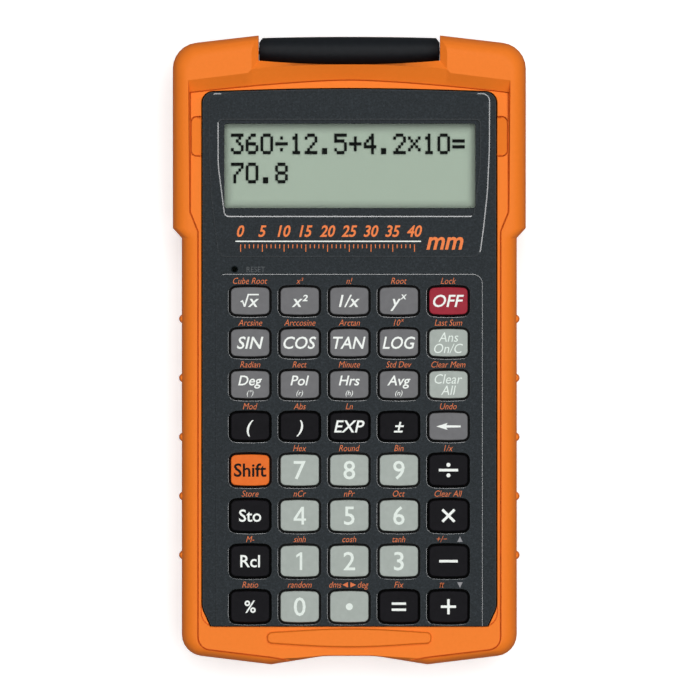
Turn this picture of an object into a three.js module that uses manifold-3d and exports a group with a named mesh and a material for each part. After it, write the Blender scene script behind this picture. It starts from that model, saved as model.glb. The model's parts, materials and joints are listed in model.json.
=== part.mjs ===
// Pocket calculator in a protective case with a fold-over lid, lying on its back, lid folded behind it.
// Millimetres, +Z up out of the keypad, +Y towards the hinge, origin under the middle of the whole.

import * as THREE from 'three';
import { mergeVertices } from 'three/addons/utils/BufferGeometryUtils.js';
import Module from 'manifold-3d';

const wasm = await Module();
wasm.setup();

// Clearances and the overrun of every cut
const fitGap = 0.3;
const boreGap = 0.1;
const overrun = 1;

// Keypad
const columnCount = 5;
const keyWidth = 9.1;
const keyGapAcross = 2.3;
const keyGapAlong = 2.87;
const upperKeyHeight = 6.75;
const lowerKeyHeight = 7.6;
const keyCornerRadius = 1.25;
const keyCrown = 0.3;
const keyEdge = 0.45;
const keyProud = 1.5;
const flangeMargin = 0.7;
const flangeThickness = 0.8;
const domeRadius = 2.4;
const domeTopRadius = 1.3;
const domeHeight = 1.5;
const sheetThickness = 0.8;

// Face of the calculator
const faceSideMargin = 6.4;
const faceBottomMargin = 0.8;
const nameStripLength = 18;
const faceTopMargin = 8.05;
const faceCrown = 0.85;
const faceCornerRadius = 2.4;
const faceCutAcross = 2.05;
const faceCutAlong = 4.4;
const faceEdge = 0.5;
const plateThickness = 1.8;
const islandHeight = 0.3;
const islandEdge = 0.2;
const islandCornerRadius = 2.2;
const keypadIslandMargin = 3.3;
const keypadIslandTop = 2.8;
const displayIslandMargin = 1.4;
const displayIslandWaist = 0.9;
const displayIslandStart = 5;
const resetRadius = 0.65;
const resetAcross = 26.4;
const resetAlong = 3.9;

// Display
const windowSideMargin = 4.75;
const windowHeight = 19.4;
const windowCornerRadius = 0.6;
const recessMargin = 1.5;
const recessDepth = 0.4;
const recessCornerRadius = 1;
const windowLip = 0.9;
const lensMargin = 1.6;
const lensThickness = 0.6;
const glassThickness = 1.1;
const connectorWidth = 1.6;
const connectorMargin = 4;

// Housing, board and battery
const housingWall = 1.5;
const partingAboveBoard = 0.4;
const backFloor = 1.6;
const backEdge = 1.2;
const boardThickness = 1.2;
const boardEndGap = 0.6;
const railWidth = 1.2;
const railInset = 2;
const railEndMargin = 1;
const cellRadius = 10;
const cellHeight = 3.2;
const cellStep = 0.4;
const cellStepInset = 1.2;
const wellWall = 1;
const wellHeight = 2;
const doorMargin = 2;
const doorLedge = 1.4;
const doorThickness = 1.2;
const doorCornerRadius = 2;
const gripGrooveWidth = 0.8;
const gripGrooveDepth = 0.4;
const gripGrooveLength = 12;
const gripGrooveCount = 3;
const contactThickness = 0.3;
const contactWidth = 4;
const contactReach = 6;
const bossRadius = 1.9;
const bossInset = 1.95;
const bossTopMargin = 3;
const bossBottomMargin = 7.4;
const screwRadius = 0.9;
const screwHeadRadius = 1.5;
const screwHeadHeight = 0.9;
const screwHeadDepth = 0.5;
const screwCrossWidth = 0.5;
const screwCrossLength = 1.8;
const screwCrossDepth = 0.5;
const screwTipGap = 0.8;

// Case tray
const ringWidth = 3.6;
const bandWidth = 0.93;
const shoulderStep = 2.07;
const shoulderRunAbove = 2.26;
const shoulderBelowWindow = 4.6;
const lipLength = 8.8;
const lipGap = 0.2;
const lipOverlap = 2;
const lipThickness = 0.8;
const browLength = 12.32;
const trayFloor = 1.8;
const faceProud = 0.2;
const ringStep = 0.3;
const browRise = 0.7;
const trayEdgeAcross = 2.6;
const trayEdgeHeight = 3;
const topCornerRadius = 6;
const topCornerDrop = 2.3;
const bottomCornerRadius = 4.6;
const bottomCornerRise = 2.5;
const scallopDepth = 1.9;
const scallopFloor = 7;
const scallopReach = 16.5;
const scallopRadius = 12;
const bandEndMargin = 1.2;
const bandCornerRadius = 3;
const browSlopeLength = 2.6;
const browCrown = 1.6;
const ribCount = 5;
const ribPitch = 13.6;
const ribWidth = 1.9;
const ribProud = 0.65;
const ribEndMargin = 3.2;
const lowestRib = 25.2;
const padLength = 38.4;
const padWidth = 4.1;
const padEndWidth = 2.6;
const padOffset = 0.55;
const padHeight = 0.8;
const padEdge = 0.4;
const tabLength = 9.4;
const tabWidth = 2.75;
const tabAboveWindow = 1.8;
const tabGroove = 0.3;
const tabGrooveDepth = 1.6;
const tabNubProud = 0.7;
const tabNubHeight = 1.1;
const tabNubBelowPlate = 1.5;
const tabNubEndMargin = 1;

// Hinge and lid
const pinRadius = 0.75;
const hingeFromTop = 3.5;
const earGrip = 7.7;
const pinRecess = 3;
const notchHalf = 20.9;
const barThickness = 6.5;
const barEndThickness = 5.1;
const barEndCutAcross = 0.8;
const barEndCutAlong = 1.4;
const notchGap = 0.35;
const knuckleHalf = 14;
const lidRimDepth = 2.4;
const lidPlate = 1.8;
const lidWall = 2.2;
const lidEdge = 0.7;
const lidInset = 0.4;
const lidEndGap = 0.4;
const lidLandLength = 5;
const foldGap = 0.3;

// Sides of round pieces, and steps on small, plain, broad and long curves
const roundSides = 12;
const domeSides = 8;
const headSides = 24;
const ringSides = 32;
const smallSteps = 1;
const cornerSteps = 2;
const roundSteps = 4;
const longSteps = 8;

// Heights, stacked from the table up
const lidTop = lidRimDepth + lidPlate;
const trayBack = lidTop + foldGap;
const trayFloorTop = trayBack + trayFloor;
const moduleBack = trayFloorTop + fitGap;
const backInner = moduleBack + backFloor;
const doorTop = moduleBack + doorThickness;
const cellBottom = doorTop + fitGap;
const cellTop = cellBottom + cellHeight;
const contactBottom = cellTop + fitGap;
const contactTop = contactBottom + contactThickness;
const boardBottom = contactTop + fitGap;
const boardTop = boardBottom + boardThickness;
const sheetBottom = boardTop + fitGap;
const sheetTop = sheetBottom + sheetThickness;
const domeTop = sheetTop + domeHeight;
const flangeBottom = domeTop + fitGap;
const flangeTop = flangeBottom + flangeThickness;
const plateBottom = flangeTop + fitGap;
const faceLevel = plateBottom + plateThickness;
const islandLevel = faceLevel + islandHeight;
const keyTop = faceLevel + keyProud;
const bandLevel = faceLevel - faceProud;
const ringLevel = bandLevel + ringStep;
const browLevel = ringLevel + browRise;
const partingLevel = boardBottom + partingAboveBoard;
const frontWallBottom = partingLevel + fitGap;
const recessLevel = islandLevel - recessDepth;
const rebateLevel = recessLevel - windowLip;
const lensTop = rebateLevel - fitGap;
const lensBottom = lensTop - lensThickness;
const glassTop = lensBottom - fitGap;
const glassBottom = glassTop - glassThickness;
const connectorTop = glassBottom - fitGap;
const lipUnderside = bandLevel - lipThickness;

// Keys from the top row down, each with its colour
const keyRows = [
  { height: upperKeyHeight, keys: [['square_root', 'grey'], ['square', 'grey'], ['reciprocal', 'grey'],
    ['power', 'grey'], ['off', 'red']] },
  { height: upperKeyHeight, keys: [['sine', 'grey'], ['cosine', 'grey'], ['tangent', 'grey'],
    ['logarithm', 'grey'], ['on', 'pale']] },
  { height: upperKeyHeight, keys: [['angle_unit', 'grey'], ['polar', 'grey'], ['hours', 'grey'],
    ['mean', 'grey'], ['clear_all', 'pale']] },
  { height: upperKeyHeight, keys: [['open_bracket', 'black'], ['close_bracket', 'black'],
    ['exponent', 'black'], ['sign', 'black'], ['backspace', 'grey']] },
  { height: lowerKeyHeight, keys: [['shift', 'orange'], ['7', 'pale'], ['8', 'pale'], ['9', 'pale'],
    ['divide', 'black']] },
  { height: lowerKeyHeight, keys: [['store', 'black'], ['4', 'pale'], ['5', 'pale'], ['6', 'pale'],
    ['multiply', 'black']] },
  { height: lowerKeyHeight, keys: [['recall', 'black'], ['1', 'pale'], ['2', 'pale'], ['3', 'pale'],
    ['minus', 'black']] },
  { height: lowerKeyHeight, keys: [['percent', 'black'], ['0', 'pale'], ['decimal_point', 'pale'],
    ['equals', 'black'], ['plus', 'black']] },
];

// Lengths along Y, added up from the keypad
const rowHeights = keyRows.map((row) => row.height);
const keypadLength = rowHeights.reduce((sum, height) => sum + height) + (keyRows.length - 1) * keyGapAlong;
const faceLength = faceBottomMargin + keypadLength + nameStripLength + windowHeight + faceTopMargin;
const caseLength = lipLength + faceLength + browLength;
const caseBottom = -caseLength / 2;
const caseTop = caseLength / 2;
const faceBottom = caseBottom + lipLength;
const faceTop = faceBottom + faceLength;
const keypadBottom = faceBottom + faceBottomMargin;
const keypadTop = keypadBottom + keypadLength;
const windowBottom = keypadTop + nameStripLength;
const windowTop = windowBottom + windowHeight;
const windowMiddle = (windowBottom + windowTop) / 2;
const tabMiddle = windowTop + tabAboveWindow - tabLength / 2;
const shoulderTop = windowBottom - shoulderBelowWindow;
const shoulderBottom = shoulderTop - shoulderRunAbove;
const moduleEnd = faceBottom - lipOverlap;
const boardStart = moduleEnd + housingWall + boardEndGap;
const boardEnd = faceTop - housingWall - boardEndGap - faceCrown;

// Half widths, added up from the keypad
const keyPitch = keyWidth + keyGapAcross;
const keypadHalf = (columnCount * keyWidth + (columnCount - 1) * keyGapAcross) / 2;
const faceHalf = keypadHalf + faceSideMargin;
const pocketHalf = faceHalf + fitGap;
const bandHalf = pocketHalf + bandWidth;
const bodyHalf = bandHalf + ringWidth;
const shoulderHalf = bodyHalf + shoulderStep;
const boardHalf = keypadHalf + flangeMargin;
const windowHalf = faceHalf - windowSideMargin;
const bossAcross = faceHalf - housingWall - bossInset;

// Hinge axes: the link turns in the tray's ears, the lid turns in the link
const lidAxisHeight = lidTop / 2;
const caseAxisHeight = (trayBack + browLevel) / 2;
const hingeReach = caseTop - hingeFromTop;
const earCornerReach = Math.hypot(hingeFromTop, caseAxisHeight - trayBack);
const lidStart = hingeReach - Math.sqrt((earCornerReach + lidEndGap) ** 2 - (caseAxisHeight - lidTop) ** 2);
const linkEndRadius = lidAxisHeight;
const barEnd = notchHalf - fitGap;

// Looks of the materials
const orangePlastic = { color: 0xf4832c, roughness: 0.5, metalness: 0 };
const darkPlastic = { color: 0x35393c, roughness: 0.6, metalness: 0 };
const hingePlastic = { color: 0x282a2c, roughness: 0.45, metalness: 0 };
const clearPlastic = { color: 0xe8efe9, roughness: 0.05, metalness: 0 };
const displayGlass = { color: 0xa3b1a3, roughness: 0.2, metalness: 0 };
const siliconeRubber = { color: 0xd9d6cc, roughness: 0.7, metalness: 0 };
const connectorRubber = { color: 0x3c3c42, roughness: 0.8, metalness: 0 };
const circuitLaminate = { color: 0x2c6b3e, roughness: 0.5, metalness: 0 };
const steel = { color: 0xb9bcc0, roughness: 0.3, metalness: 1 };
const keyLooks = {
  grey: { color: 0x767778, roughness: 0.55, metalness: 0 },
  red: { color: 0xa0323e, roughness: 0.55, metalness: 0 },
  pale: { color: 0xa8b0a8, roughness: 0.55, metalness: 0 },
  black: { color: 0x1f1c1f, roughness: 0.55, metalness: 0 },
  orange: { color: 0xeb7432, roughness: 0.55, metalness: 0 },
};

const part = new THREE.Group();

// Turns a closed three.js geometry into a solid that can be cut and joined
function solidOf(geometry) {
  geometry.deleteAttribute('normal');
  geometry.deleteAttribute('uv');
  const merged = mergeVertices(geometry);
  const vertProperties = new Float32Array(merged.attributes.position.array);
  const triVerts = new Uint32Array(merged.index.array);
  return new wasm.Manifold(new wasm.Mesh({ numProp: 3, vertProperties, triVerts }));
}

// Adds a finished solid to the part as a named mesh
function addPiece(name, solid, look) {
  const cut = solid.getMesh();
  const geometry = new THREE.BufferGeometry();
  geometry.setAttribute('position', new THREE.BufferAttribute(new Float32Array(cut.vertProperties), 3));
  geometry.setIndex(Array.from(cut.triVerts));
  geometry.computeVertexNormals();
  const mesh = new THREE.Mesh(geometry, new THREE.MeshStandardMaterial(look));
  mesh.name = name;
  part.add(mesh);
}

function joined(solids) {
  return solids.reduce((whole, solid) => whole.add(solid));
}

function cutBy(solid, cutters) {
  return cutters.reduce((left, cutter) => left.subtract(cutter), solid);
}

// A corner is [x, y, radius]; these mirror, move in and round off a closed outline of corners
function bothSides(rightCorners) {
  const left = rightCorners.filter(([x]) => x > 0).map(([x, y, radius]) => [-x, y, radius]);
  return [...rightCorners, ...left.reverse()];
}

function rectangle(halfWidth, bottom, top, radius) {
  return bothSides([[halfWidth, bottom, radius], [halfWidth, top, radius]]);
}

function movedIn(corners, inset) {
  return corners.map(([x, y, radius], index) => {
    const before = corners[(index + corners.length - 1) % corners.length];
    const after = corners[(index + 1) % corners.length];
    const into = new THREE.Vector2(x - before[0], y - before[1]).normalize();
    const out = new THREE.Vector2(after[0] - x, after[1] - y).normalize();
    const share = inset / (1 + into.dot(out));
    const turn = Math.sign(into.cross(out));
    const corner = [x - (into.y + out.y) * share, y + (into.x + out.x) * share];
    return [...corner, Math.max(radius - turn * inset, 0)];
  });
}

function rounded(corners) {
  const shape = new THREE.Shape();
  corners.forEach(([x, y, radius], index) => {
    const before = corners[(index + corners.length - 1) % corners.length];
    const after = corners[(index + 1) % corners.length];
    const into = new THREE.Vector2(x - before[0], y - before[1]).normalize();
    const out = new THREE.Vector2(after[0] - x, after[1] - y).normalize();
    const turn = Math.atan2(into.cross(out), into.dot(out));
    const run = radius * Math.abs(Math.tan(turn / 2));
    const start = [x - into.x * run, y - into.y * run];
    if (index === 0) {
      shape.moveTo(...start);
    } else {
      shape.lineTo(...start);
    }
    if (run > 0) {
      const side = Math.sign(turn);
      const centre = [start[0] - into.y * radius * side, start[1] + into.x * radius * side];
      const from = Math.atan2(start[1] - centre[1], start[0] - centre[0]);
      shape.absarc(...centre, radius, from, from + turn, turn < 0);
    }
  });
  shape.closePath();
  return shape;
}

// Solids: an outline between two heights, with a rounded edge at both ends if asked, and plain forms
function slab(shape, bottom, top, arcSteps, edge = 0, edgeHeight = edge, edgeSteps = cornerSteps) {
  const geometry = new THREE.ExtrudeGeometry(shape, {
    depth: top - bottom - 2 * edgeHeight,
    curveSegments: arcSteps,
    bevelEnabled: edge > 0,
    bevelSize: edge,
    bevelOffset: -edge,
    bevelThickness: edgeHeight,
    bevelSegments: edgeSteps,
  });
  geometry.translate(0, 0, bottom + edgeHeight);
  return solidOf(geometry);
}

function block(left, right, front, back, bottom, top) {
  const geometry = new THREE.BoxGeometry(right - left, back - front, top - bottom);
  geometry.translate((left + right) / 2, (front + back) / 2, (bottom + top) / 2);
  return solidOf(geometry);
}

function post(x, y, bottomRadius, topRadius, bottom, top, sides) {
  const geometry = new THREE.CylinderGeometry(topRadius, bottomRadius, top - bottom, sides);
  geometry.rotateX(Math.PI / 2);
  geometry.translate(x, y, (bottom + top) / 2);
  return solidOf(geometry);
}

function rod(left, right, y, z, radius) {
  const geometry = new THREE.CylinderGeometry(radius, radius, right - left, roundSides);
  geometry.rotateZ(Math.PI / 2);
  geometry.translate((left + right) / 2, y, z);
  return solidOf(geometry);
}

// A many-sided bore that clears a many-sided pin at every angle
function boreRadius(radius) {
  return (radius + boreGap) / Math.cos(Math.PI / roundSides);
}

// An outline in the YZ plane, drawn as (y, z), run along X
function alongX(shape, left, right, arcSteps) {
  const geometry = new THREE.ExtrudeGeometry(shape, {
    depth: right - left,
    curveSegments: arcSteps,
    bevelEnabled: false,
  });
  geometry.rotateY(Math.PI / 2);
  geometry.rotateX(Math.PI / 2);
  geometry.translate(left, 0, 0);
  return solidOf(geometry);
}

// Outlines: the face down to its visible end, or down to its end under the case's lip
function faceCorners(end = faceBottom) {
  const cut = faceCutAcross * (1 + (faceBottom - end) / faceCutAlong);
  return bothSides([
    [faceHalf - cut, end, 0],
    [faceHalf, faceBottom + faceCutAlong, 0],
    [faceHalf, faceTop - faceCrown, faceCornerRadius],
    [0, faceTop, 0],
  ]);
}

function caseCorners() {
  return bothSides([
    [scallopFloor, caseBottom + scallopDepth, scallopRadius],
    [scallopReach, caseBottom, 0],
    [bodyHalf, caseBottom + bottomCornerRise, bottomCornerRadius],
    [bodyHalf, shoulderBottom, 0],
    [shoulderHalf, shoulderTop, 0],
    [shoulderHalf, caseTop - topCornerDrop, topCornerRadius],
    [notchHalf, caseTop, 0],
  ]);
}

function bandCorners() {
  return bothSides([
    [scallopFloor, caseBottom + scallopDepth + bandEndMargin, 0],
    [scallopReach, caseBottom + bandEndMargin, 0],
    [bandHalf, caseBottom + bottomCornerRise + bandEndMargin, bandCornerRadius],
    [bandHalf, shoulderBottom, 0],
    [bandHalf + shoulderStep, shoulderTop, 0],
    [bandHalf + shoulderStep, faceTop - faceCrown, 0],
    [0, faceTop + browSlopeLength - faceCrown, 0],
  ]);
}

function keyCorners(x, y, height, inset) {
  const corners = bothSides([
    [keyWidth / 2, -height / 2 + keyCrown, keyCornerRadius],
    [keyWidth / 2, height / 2 - keyCrown, keyCornerRadius],
    [0, height / 2, 0],
  ]);
  corners.push([0, -height / 2, 0]);
  return movedIn(corners, inset).map(([across, along, radius]) => [x + across, y + along, radius]);
}

// A crowned bar across the middle: half depth at its middle and at its ends
function crownedShape(halfLength, middle, halfDepth, endHalfDepth, cutAcross, cutAlong) {
  const lift = 2 * halfDepth - endHalfDepth;
  const shape = new THREE.Shape();
  shape.moveTo(-halfLength + cutAcross, middle - endHalfDepth);
  shape.quadraticCurveTo(0, middle - lift, halfLength - cutAcross, middle - endHalfDepth);
  shape.lineTo(halfLength, middle - endHalfDepth + cutAlong);
  shape.lineTo(halfLength, middle + endHalfDepth - cutAlong);
  shape.lineTo(halfLength - cutAcross, middle + endHalfDepth);
  shape.quadraticCurveTo(0, middle + lift, -halfLength + cutAcross, middle + endHalfDepth);
  shape.lineTo(-halfLength, middle + endHalfDepth - cutAlong);
  shape.lineTo(-halfLength, middle - endHalfDepth + cutAlong);
  shape.closePath();
  return shape;
}

// Every key's place, size, name and colour
function keyPlaces() {
  let rowTop = keypadTop;
  return keyRows.flatMap(({ height, keys }) => {
    const y = rowTop - height / 2;
    rowTop -= height + keyGapAlong;
    return keys.map(([label, look], column) => {
      const x = (column - (columnCount - 1) / 2) * keyPitch;
      return { x, y, height, name: `key_${label}`, look };
    });
  });
}

function bossPlaces() {
  const ends = [faceBottom + bossBottomMargin, faceTop - bossTopMargin];
  return ends.flatMap((y) => [[-bossAcross, y], [bossAcross, y]]);
}

// Case tray: shell with a raised brow at the hinge end, pocket, ears, grip ribs, thumb pad and tabs
function trayShell() {
  const corners = caseCorners();
  const arcs = cornerSteps;
  const low = slab(rounded(corners), trayBack, ringLevel, arcs, trayEdgeAcross, trayEdgeHeight);
  const high = slab(rounded(corners), trayBack, browLevel, arcs, trayEdgeAcross, trayEdgeHeight);
  const browStart = faceTop - faceCrown;
  const keep = block(-shoulderHalf, shoulderHalf, browStart, caseTop, trayBack, browLevel);
  return low.add(high.intersect(keep));
}

function trayRibs() {
  const radius = ((ribWidth / 2) ** 2 + ribProud ** 2) / (2 * ribProud);
  const across = bodyHalf + ribProud - radius;
  const bottom = trayBack + ribEndMargin;
  const top = ringLevel - ribEndMargin;
  const places = Array.from({ length: ribCount }, (_, index) => caseBottom + lowestRib + index * ribPitch);
  return places.flatMap((y) => {
    return [-across, across].map((x) => post(x, y, radius, radius, bottom, top, roundSides));
  });
}

function trayPad() {
  const middle = faceBottom - padOffset - padWidth / 2;
  const shape = crownedShape(padLength / 2, middle, padWidth / 2, padEndWidth / 2, padEdge, padEdge);
  return slab(shape, bandLevel - overrun, bandLevel + padHeight, roundSteps, padEdge);
}

// The slope that falls from the brow to the band
function browCut() {
  const start = faceTop - faceCrown;
  const wedge = new THREE.Shape();
  wedge.moveTo(start - overrun, bandLevel);
  wedge.lineTo(start + browCrown, bandLevel);
  wedge.lineTo(start + browCrown + browSlopeLength, browLevel);
  wedge.lineTo(start + browCrown + browSlopeLength, browLevel + overrun);
  wedge.lineTo(start - overrun, browLevel + overrun);
  wedge.closePath();
  return alongX(wedge, -bandHalf - shoulderStep, bandHalf + shoulderStep, smallSteps);
}

function pocketCuts() {
  const mouth = movedIn(faceCorners(faceBottom + fitGap), -fitGap);
  const under = movedIn(faceCorners(moduleEnd), -fitGap);
  return [
    slab(rounded(mouth), trayFloorTop, browLevel + overrun, cornerSteps),
    slab(rounded(under), trayFloorTop, lipUnderside, cornerSteps),
  ];
}

function notchCut() {
  const depth = barThickness / 2 + notchGap;
  const endDepth = barEndThickness / 2 + notchGap;
  const shape = new THREE.Shape();
  shape.moveTo(-notchHalf, hingeReach - endDepth);
  shape.quadraticCurveTo(0, hingeReach - 2 * depth + endDepth, notchHalf, hingeReach - endDepth);
  shape.lineTo(notchHalf, caseTop + overrun);
  shape.lineTo(-notchHalf, caseTop + overrun);
  shape.closePath();
  return slab(shape, trayBack - overrun, browLevel + overrun, longSteps);
}

// Thin grooves that free a snap tab on three sides, and the nub it carries on its pocket side
function tabGrooves(side) {
  const outer = rectangle(tabWidth + fitGap, tabMiddle - tabLength / 2, tabMiddle + tabLength / 2, tabGroove);
  const inner = movedIn(outer, tabGroove);
  const bottom = bandLevel - tabGrooveDepth;
  const frame = slab(rounded(outer), bottom, browLevel, smallSteps);
  const ring = frame.subtract(slab(rounded(inner), bottom - overrun, browLevel + overrun, smallSteps));
  return ring.translate([side * (pocketHalf + fitGap), 0, 0]);
}

function nubSpan() {
  return { top: plateBottom - tabNubBelowPlate, bottom: plateBottom - tabNubBelowPlate - tabNubHeight };
}

function tabNub(side) {
  const { bottom, top } = nubSpan();
  const length = tabLength / 2 - tabNubEndMargin;
  const tip = pocketHalf - tabNubProud;
  const root = pocketHalf + overrun;
  const ends = [side * tip, side * root].sort((a, b) => a - b);
  return block(...ends, tabMiddle - length, tabMiddle + length, bottom, top);
}

function caseTray() {
  const band = slab(rounded(bandCorners()), bandLevel, browLevel + overrun, cornerSteps);
  const pin = boreRadius(pinRadius);
  const blindEnd = -notchHalf - earGrip - fitGap;
  const cuts = [
    cutBy(band, [block(-shoulderHalf, shoulderHalf, faceTop - faceCrown, caseTop, trayBack, keyTop)]),
    browCut(),
    ...pocketCuts(),
    notchCut(),
    tabGrooves(-1),
    tabGrooves(1),
    rod(blindEnd, shoulderHalf + overrun, hingeReach, caseAxisHeight, pin),
  ];
  const shell = joined([trayShell(), ...trayRibs()]);
  const cut = cutBy(shell, cuts);
  addPiece('case_tray', joined([cut, trayPad(), tabNub(-1), tabNub(1)]), orangePlastic);
}

// Flip lid: a shallow cover, open side down, with one knuckle at the hinge end
function lidBody() {
  const corners = movedIn(caseCorners(), lidInset);
  const outer = slab(rounded(corners), 0, lidTop, cornerSteps, lidEdge);
  const hollow = movedIn(corners, lidWall);
  const inner = slab(rounded(hollow), -overrun, lidRimDepth, cornerSteps);
  const landEnd = caseBottom + scallopDepth + lidLandLength;
  const land = block(-shoulderHalf, shoulderHalf, caseBottom, landEnd, 0, lidTop);
  const end = block(-shoulderHalf, shoulderHalf, lidStart - lidWall, caseTop, 0, lidTop);
  const past = block(-shoulderHalf, shoulderHalf, lidStart, caseTop, -overrun, lidTop + overrun);
  return outer.subtract(cutBy(inner, [land, end])).subtract(past);
}

function flipLid() {
  const barrel = rod(-knuckleHalf, knuckleHalf, hingeReach, lidAxisHeight, lidAxisHeight);
  const neck = block(-knuckleHalf, knuckleHalf, lidStart - overrun, hingeReach, 0, lidTop);
  const bore = rod(-shoulderHalf, shoulderHalf, hingeReach, lidAxisHeight, boreRadius(pinRadius));
  const lid = cutBy(joined([lidBody(), barrel, neck]), [bore]);
  addPiece('flip_lid', lid, orangePlastic);
}

// The link's head: a barrel round the case's axis, as thick as the crowned bar all the way along
function linkHead() {
  const radius = barThickness / 2;
  const endRadius = barEndThickness / 2;
  const straight = barEnd - barEndCutAcross;
  const swell = new THREE.QuadraticBezierCurve(
    new THREE.Vector2(endRadius, -straight),
    new THREE.Vector2(2 * radius - endRadius, 0),
    new THREE.Vector2(endRadius, straight),
  );
  const profile = [
    new THREE.Vector2(0, -barEnd),
    new THREE.Vector2(endRadius - barEndCutAlong, -barEnd),
    ...swell.getPoints(longSteps),
    new THREE.Vector2(endRadius - barEndCutAlong, barEnd),
    new THREE.Vector2(0, barEnd),
  ];
  const geometry = new THREE.LatheGeometry(profile, headSides);
  geometry.rotateZ(Math.PI / 2);
  geometry.translate(0, hingeReach, caseAxisHeight);
  return solidOf(geometry);
}

// Hinge link: a crowned bar that tapers down to the lid's axis, with a gap for the lid's knuckle
function hingeLink() {
  const shape = new THREE.Shape();
  const reach = caseAxisHeight - lidAxisHeight;
  const radius = barThickness / 2;
  const lean = Math.asin((radius - linkEndRadius) / reach);
  shape.absarc(hingeReach, caseAxisHeight, radius, -lean, Math.PI + lean, false);
  shape.absarc(hingeReach, lidAxisHeight, linkEndRadius, Math.PI + lean, 2 * Math.PI - lean, false);
  shape.closePath();
  const side = alongX(shape, -barEnd, barEnd, roundSteps);
  const half = barEndThickness / 2;
  const crown = crownedShape(barEnd, hingeReach, radius, half, barEndCutAcross, barEndCutAlong);
  const arms = side.intersect(slab(crown, -overrun, caseAxisHeight, longSteps));
  const gapHalf = knuckleHalf + fitGap;
  const knuckleRoom = block(-gapHalf, gapHalf, lidStart, caseTop + overrun, -overrun, trayBack);
  const bores = [
    rod(-shoulderHalf, shoulderHalf, hingeReach, caseAxisHeight, boreRadius(pinRadius)),
    rod(-shoulderHalf, shoulderHalf, hingeReach, lidAxisHeight, boreRadius(pinRadius)),
  ];
  addPiece('hinge_link', cutBy(linkHead().add(arms), [knuckleRoom, ...bores]), hingePlastic);
}

function hingePins() {
  const caseEnd = shoulderHalf - pinRecess;
  const casePin = rod(-notchHalf - earGrip, caseEnd, hingeReach, caseAxisHeight, pinRadius);
  const lidPin = rod(-barEnd, barEnd, hingeReach, lidAxisHeight, pinRadius);
  addPiece('hinge_pin_case', casePin, steel);
  addPiece('hinge_pin_lid', lidPin, steel);
}

// Front housing: face plate with walls, islands, display window and a hole for every key
function islands() {
  const keypad = rectangle(
    keypadHalf + keypadIslandMargin,
    moduleEnd,
    keypadTop + keypadIslandTop,
    islandCornerRadius,
  );
  const displayHalf = faceHalf - displayIslandMargin;
  const display = bothSides([
    [displayHalf - displayIslandWaist, keypadTop + keypadIslandTop + displayIslandStart, islandCornerRadius],
    [displayHalf, windowMiddle, 0],
    [displayHalf, faceTop - faceCrown - faceEdge - fitGap, islandCornerRadius],
  ]);
  return [keypad, display].map((corners) => {
    const shape = rounded(corners);
    return slab(shape, faceLevel - overrun, islandLevel, smallSteps, islandEdge, islandEdge, smallSteps);
  });
}

function displayCuts() {
  const opening = rectangle(windowHalf, windowBottom, windowTop, windowCornerRadius);
  const recess = rectangle(windowHalf + recessMargin, windowBottom - recessMargin,
    windowTop + recessMargin, recessCornerRadius);
  const rebate = movedIn(opening, -lensMargin - fitGap);
  return [
    slab(rounded(opening), plateBottom - overrun, keyTop, smallSteps),
    slab(rounded(recess), recessLevel, keyTop, smallSteps),
    slab(rounded(rebate), plateBottom - overrun, rebateLevel, smallSteps),
  ];
}

function keyHoles() {
  return keyPlaces().map(({ x, y, height }) => {
    const corners = keyCorners(x, y, height, -fitGap);
    return slab(rounded(corners), plateBottom - overrun, keyTop, smallSteps);
  });
}

function housingBlank(bottom, top, edge) {
  const shape = rounded(faceCorners(moduleEnd));
  return slab(shape, bottom - edge, top, cornerSteps, edge);
}

function cavity(bottom, top) {
  return slab(rounded(movedIn(faceCorners(moduleEnd), housingWall)), bottom, top, cornerSteps);
}

function tabRecess(side) {
  const { bottom, top } = nubSpan();
  const length = tabLength / 2 - tabNubEndMargin + fitGap;
  const depth = tabNubProud + fitGap;
  const ends = [side * (pocketHalf - depth), side * pocketHalf].sort((a, b) => a - b);
  return block(...ends, tabMiddle - length, tabMiddle + length, bottom - fitGap, top + fitGap);
}

function frontHousing() {
  const blank = housingBlank(frontWallBottom, faceLevel, faceEdge);
  const below = block(-shoulderHalf, shoulderHalf, caseBottom, caseTop, 0, frontWallBottom);
  const shell = cutBy(blank, [below, cavity(frontWallBottom - overrun, plateBottom)]);
  const bosses = bossPlaces().map(([x, y]) => {
    return post(x, y, bossRadius, bossRadius, frontWallBottom, plateBottom + plateThickness / 2, roundSides);
  });
  const bores = bossPlaces().map(([x, y]) => {
    const bore = boreRadius(screwRadius);
    return post(x, y, bore, bore, frontWallBottom - overrun, plateBottom, roundSides);
  });
  const lipStep = block(-faceHalf, faceHalf, caseBottom, faceBottom + lipGap, lipUnderside - fitGap, keyTop);
  const resetPlace = [-resetAcross, keypadTop + resetAlong];
  const reset = post(...resetPlace, resetRadius, resetRadius, boardTop, keyTop, domeSides);
  const whole = joined([shell, ...islands(), ...bosses]);
  const cuts = [lipStep, reset, ...displayCuts(), ...keyHoles(), ...bores, tabRecess(-1), tabRecess(1)];
  addPiece('front_housing', cutBy(whole, cuts), darkPlastic);
}

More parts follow.
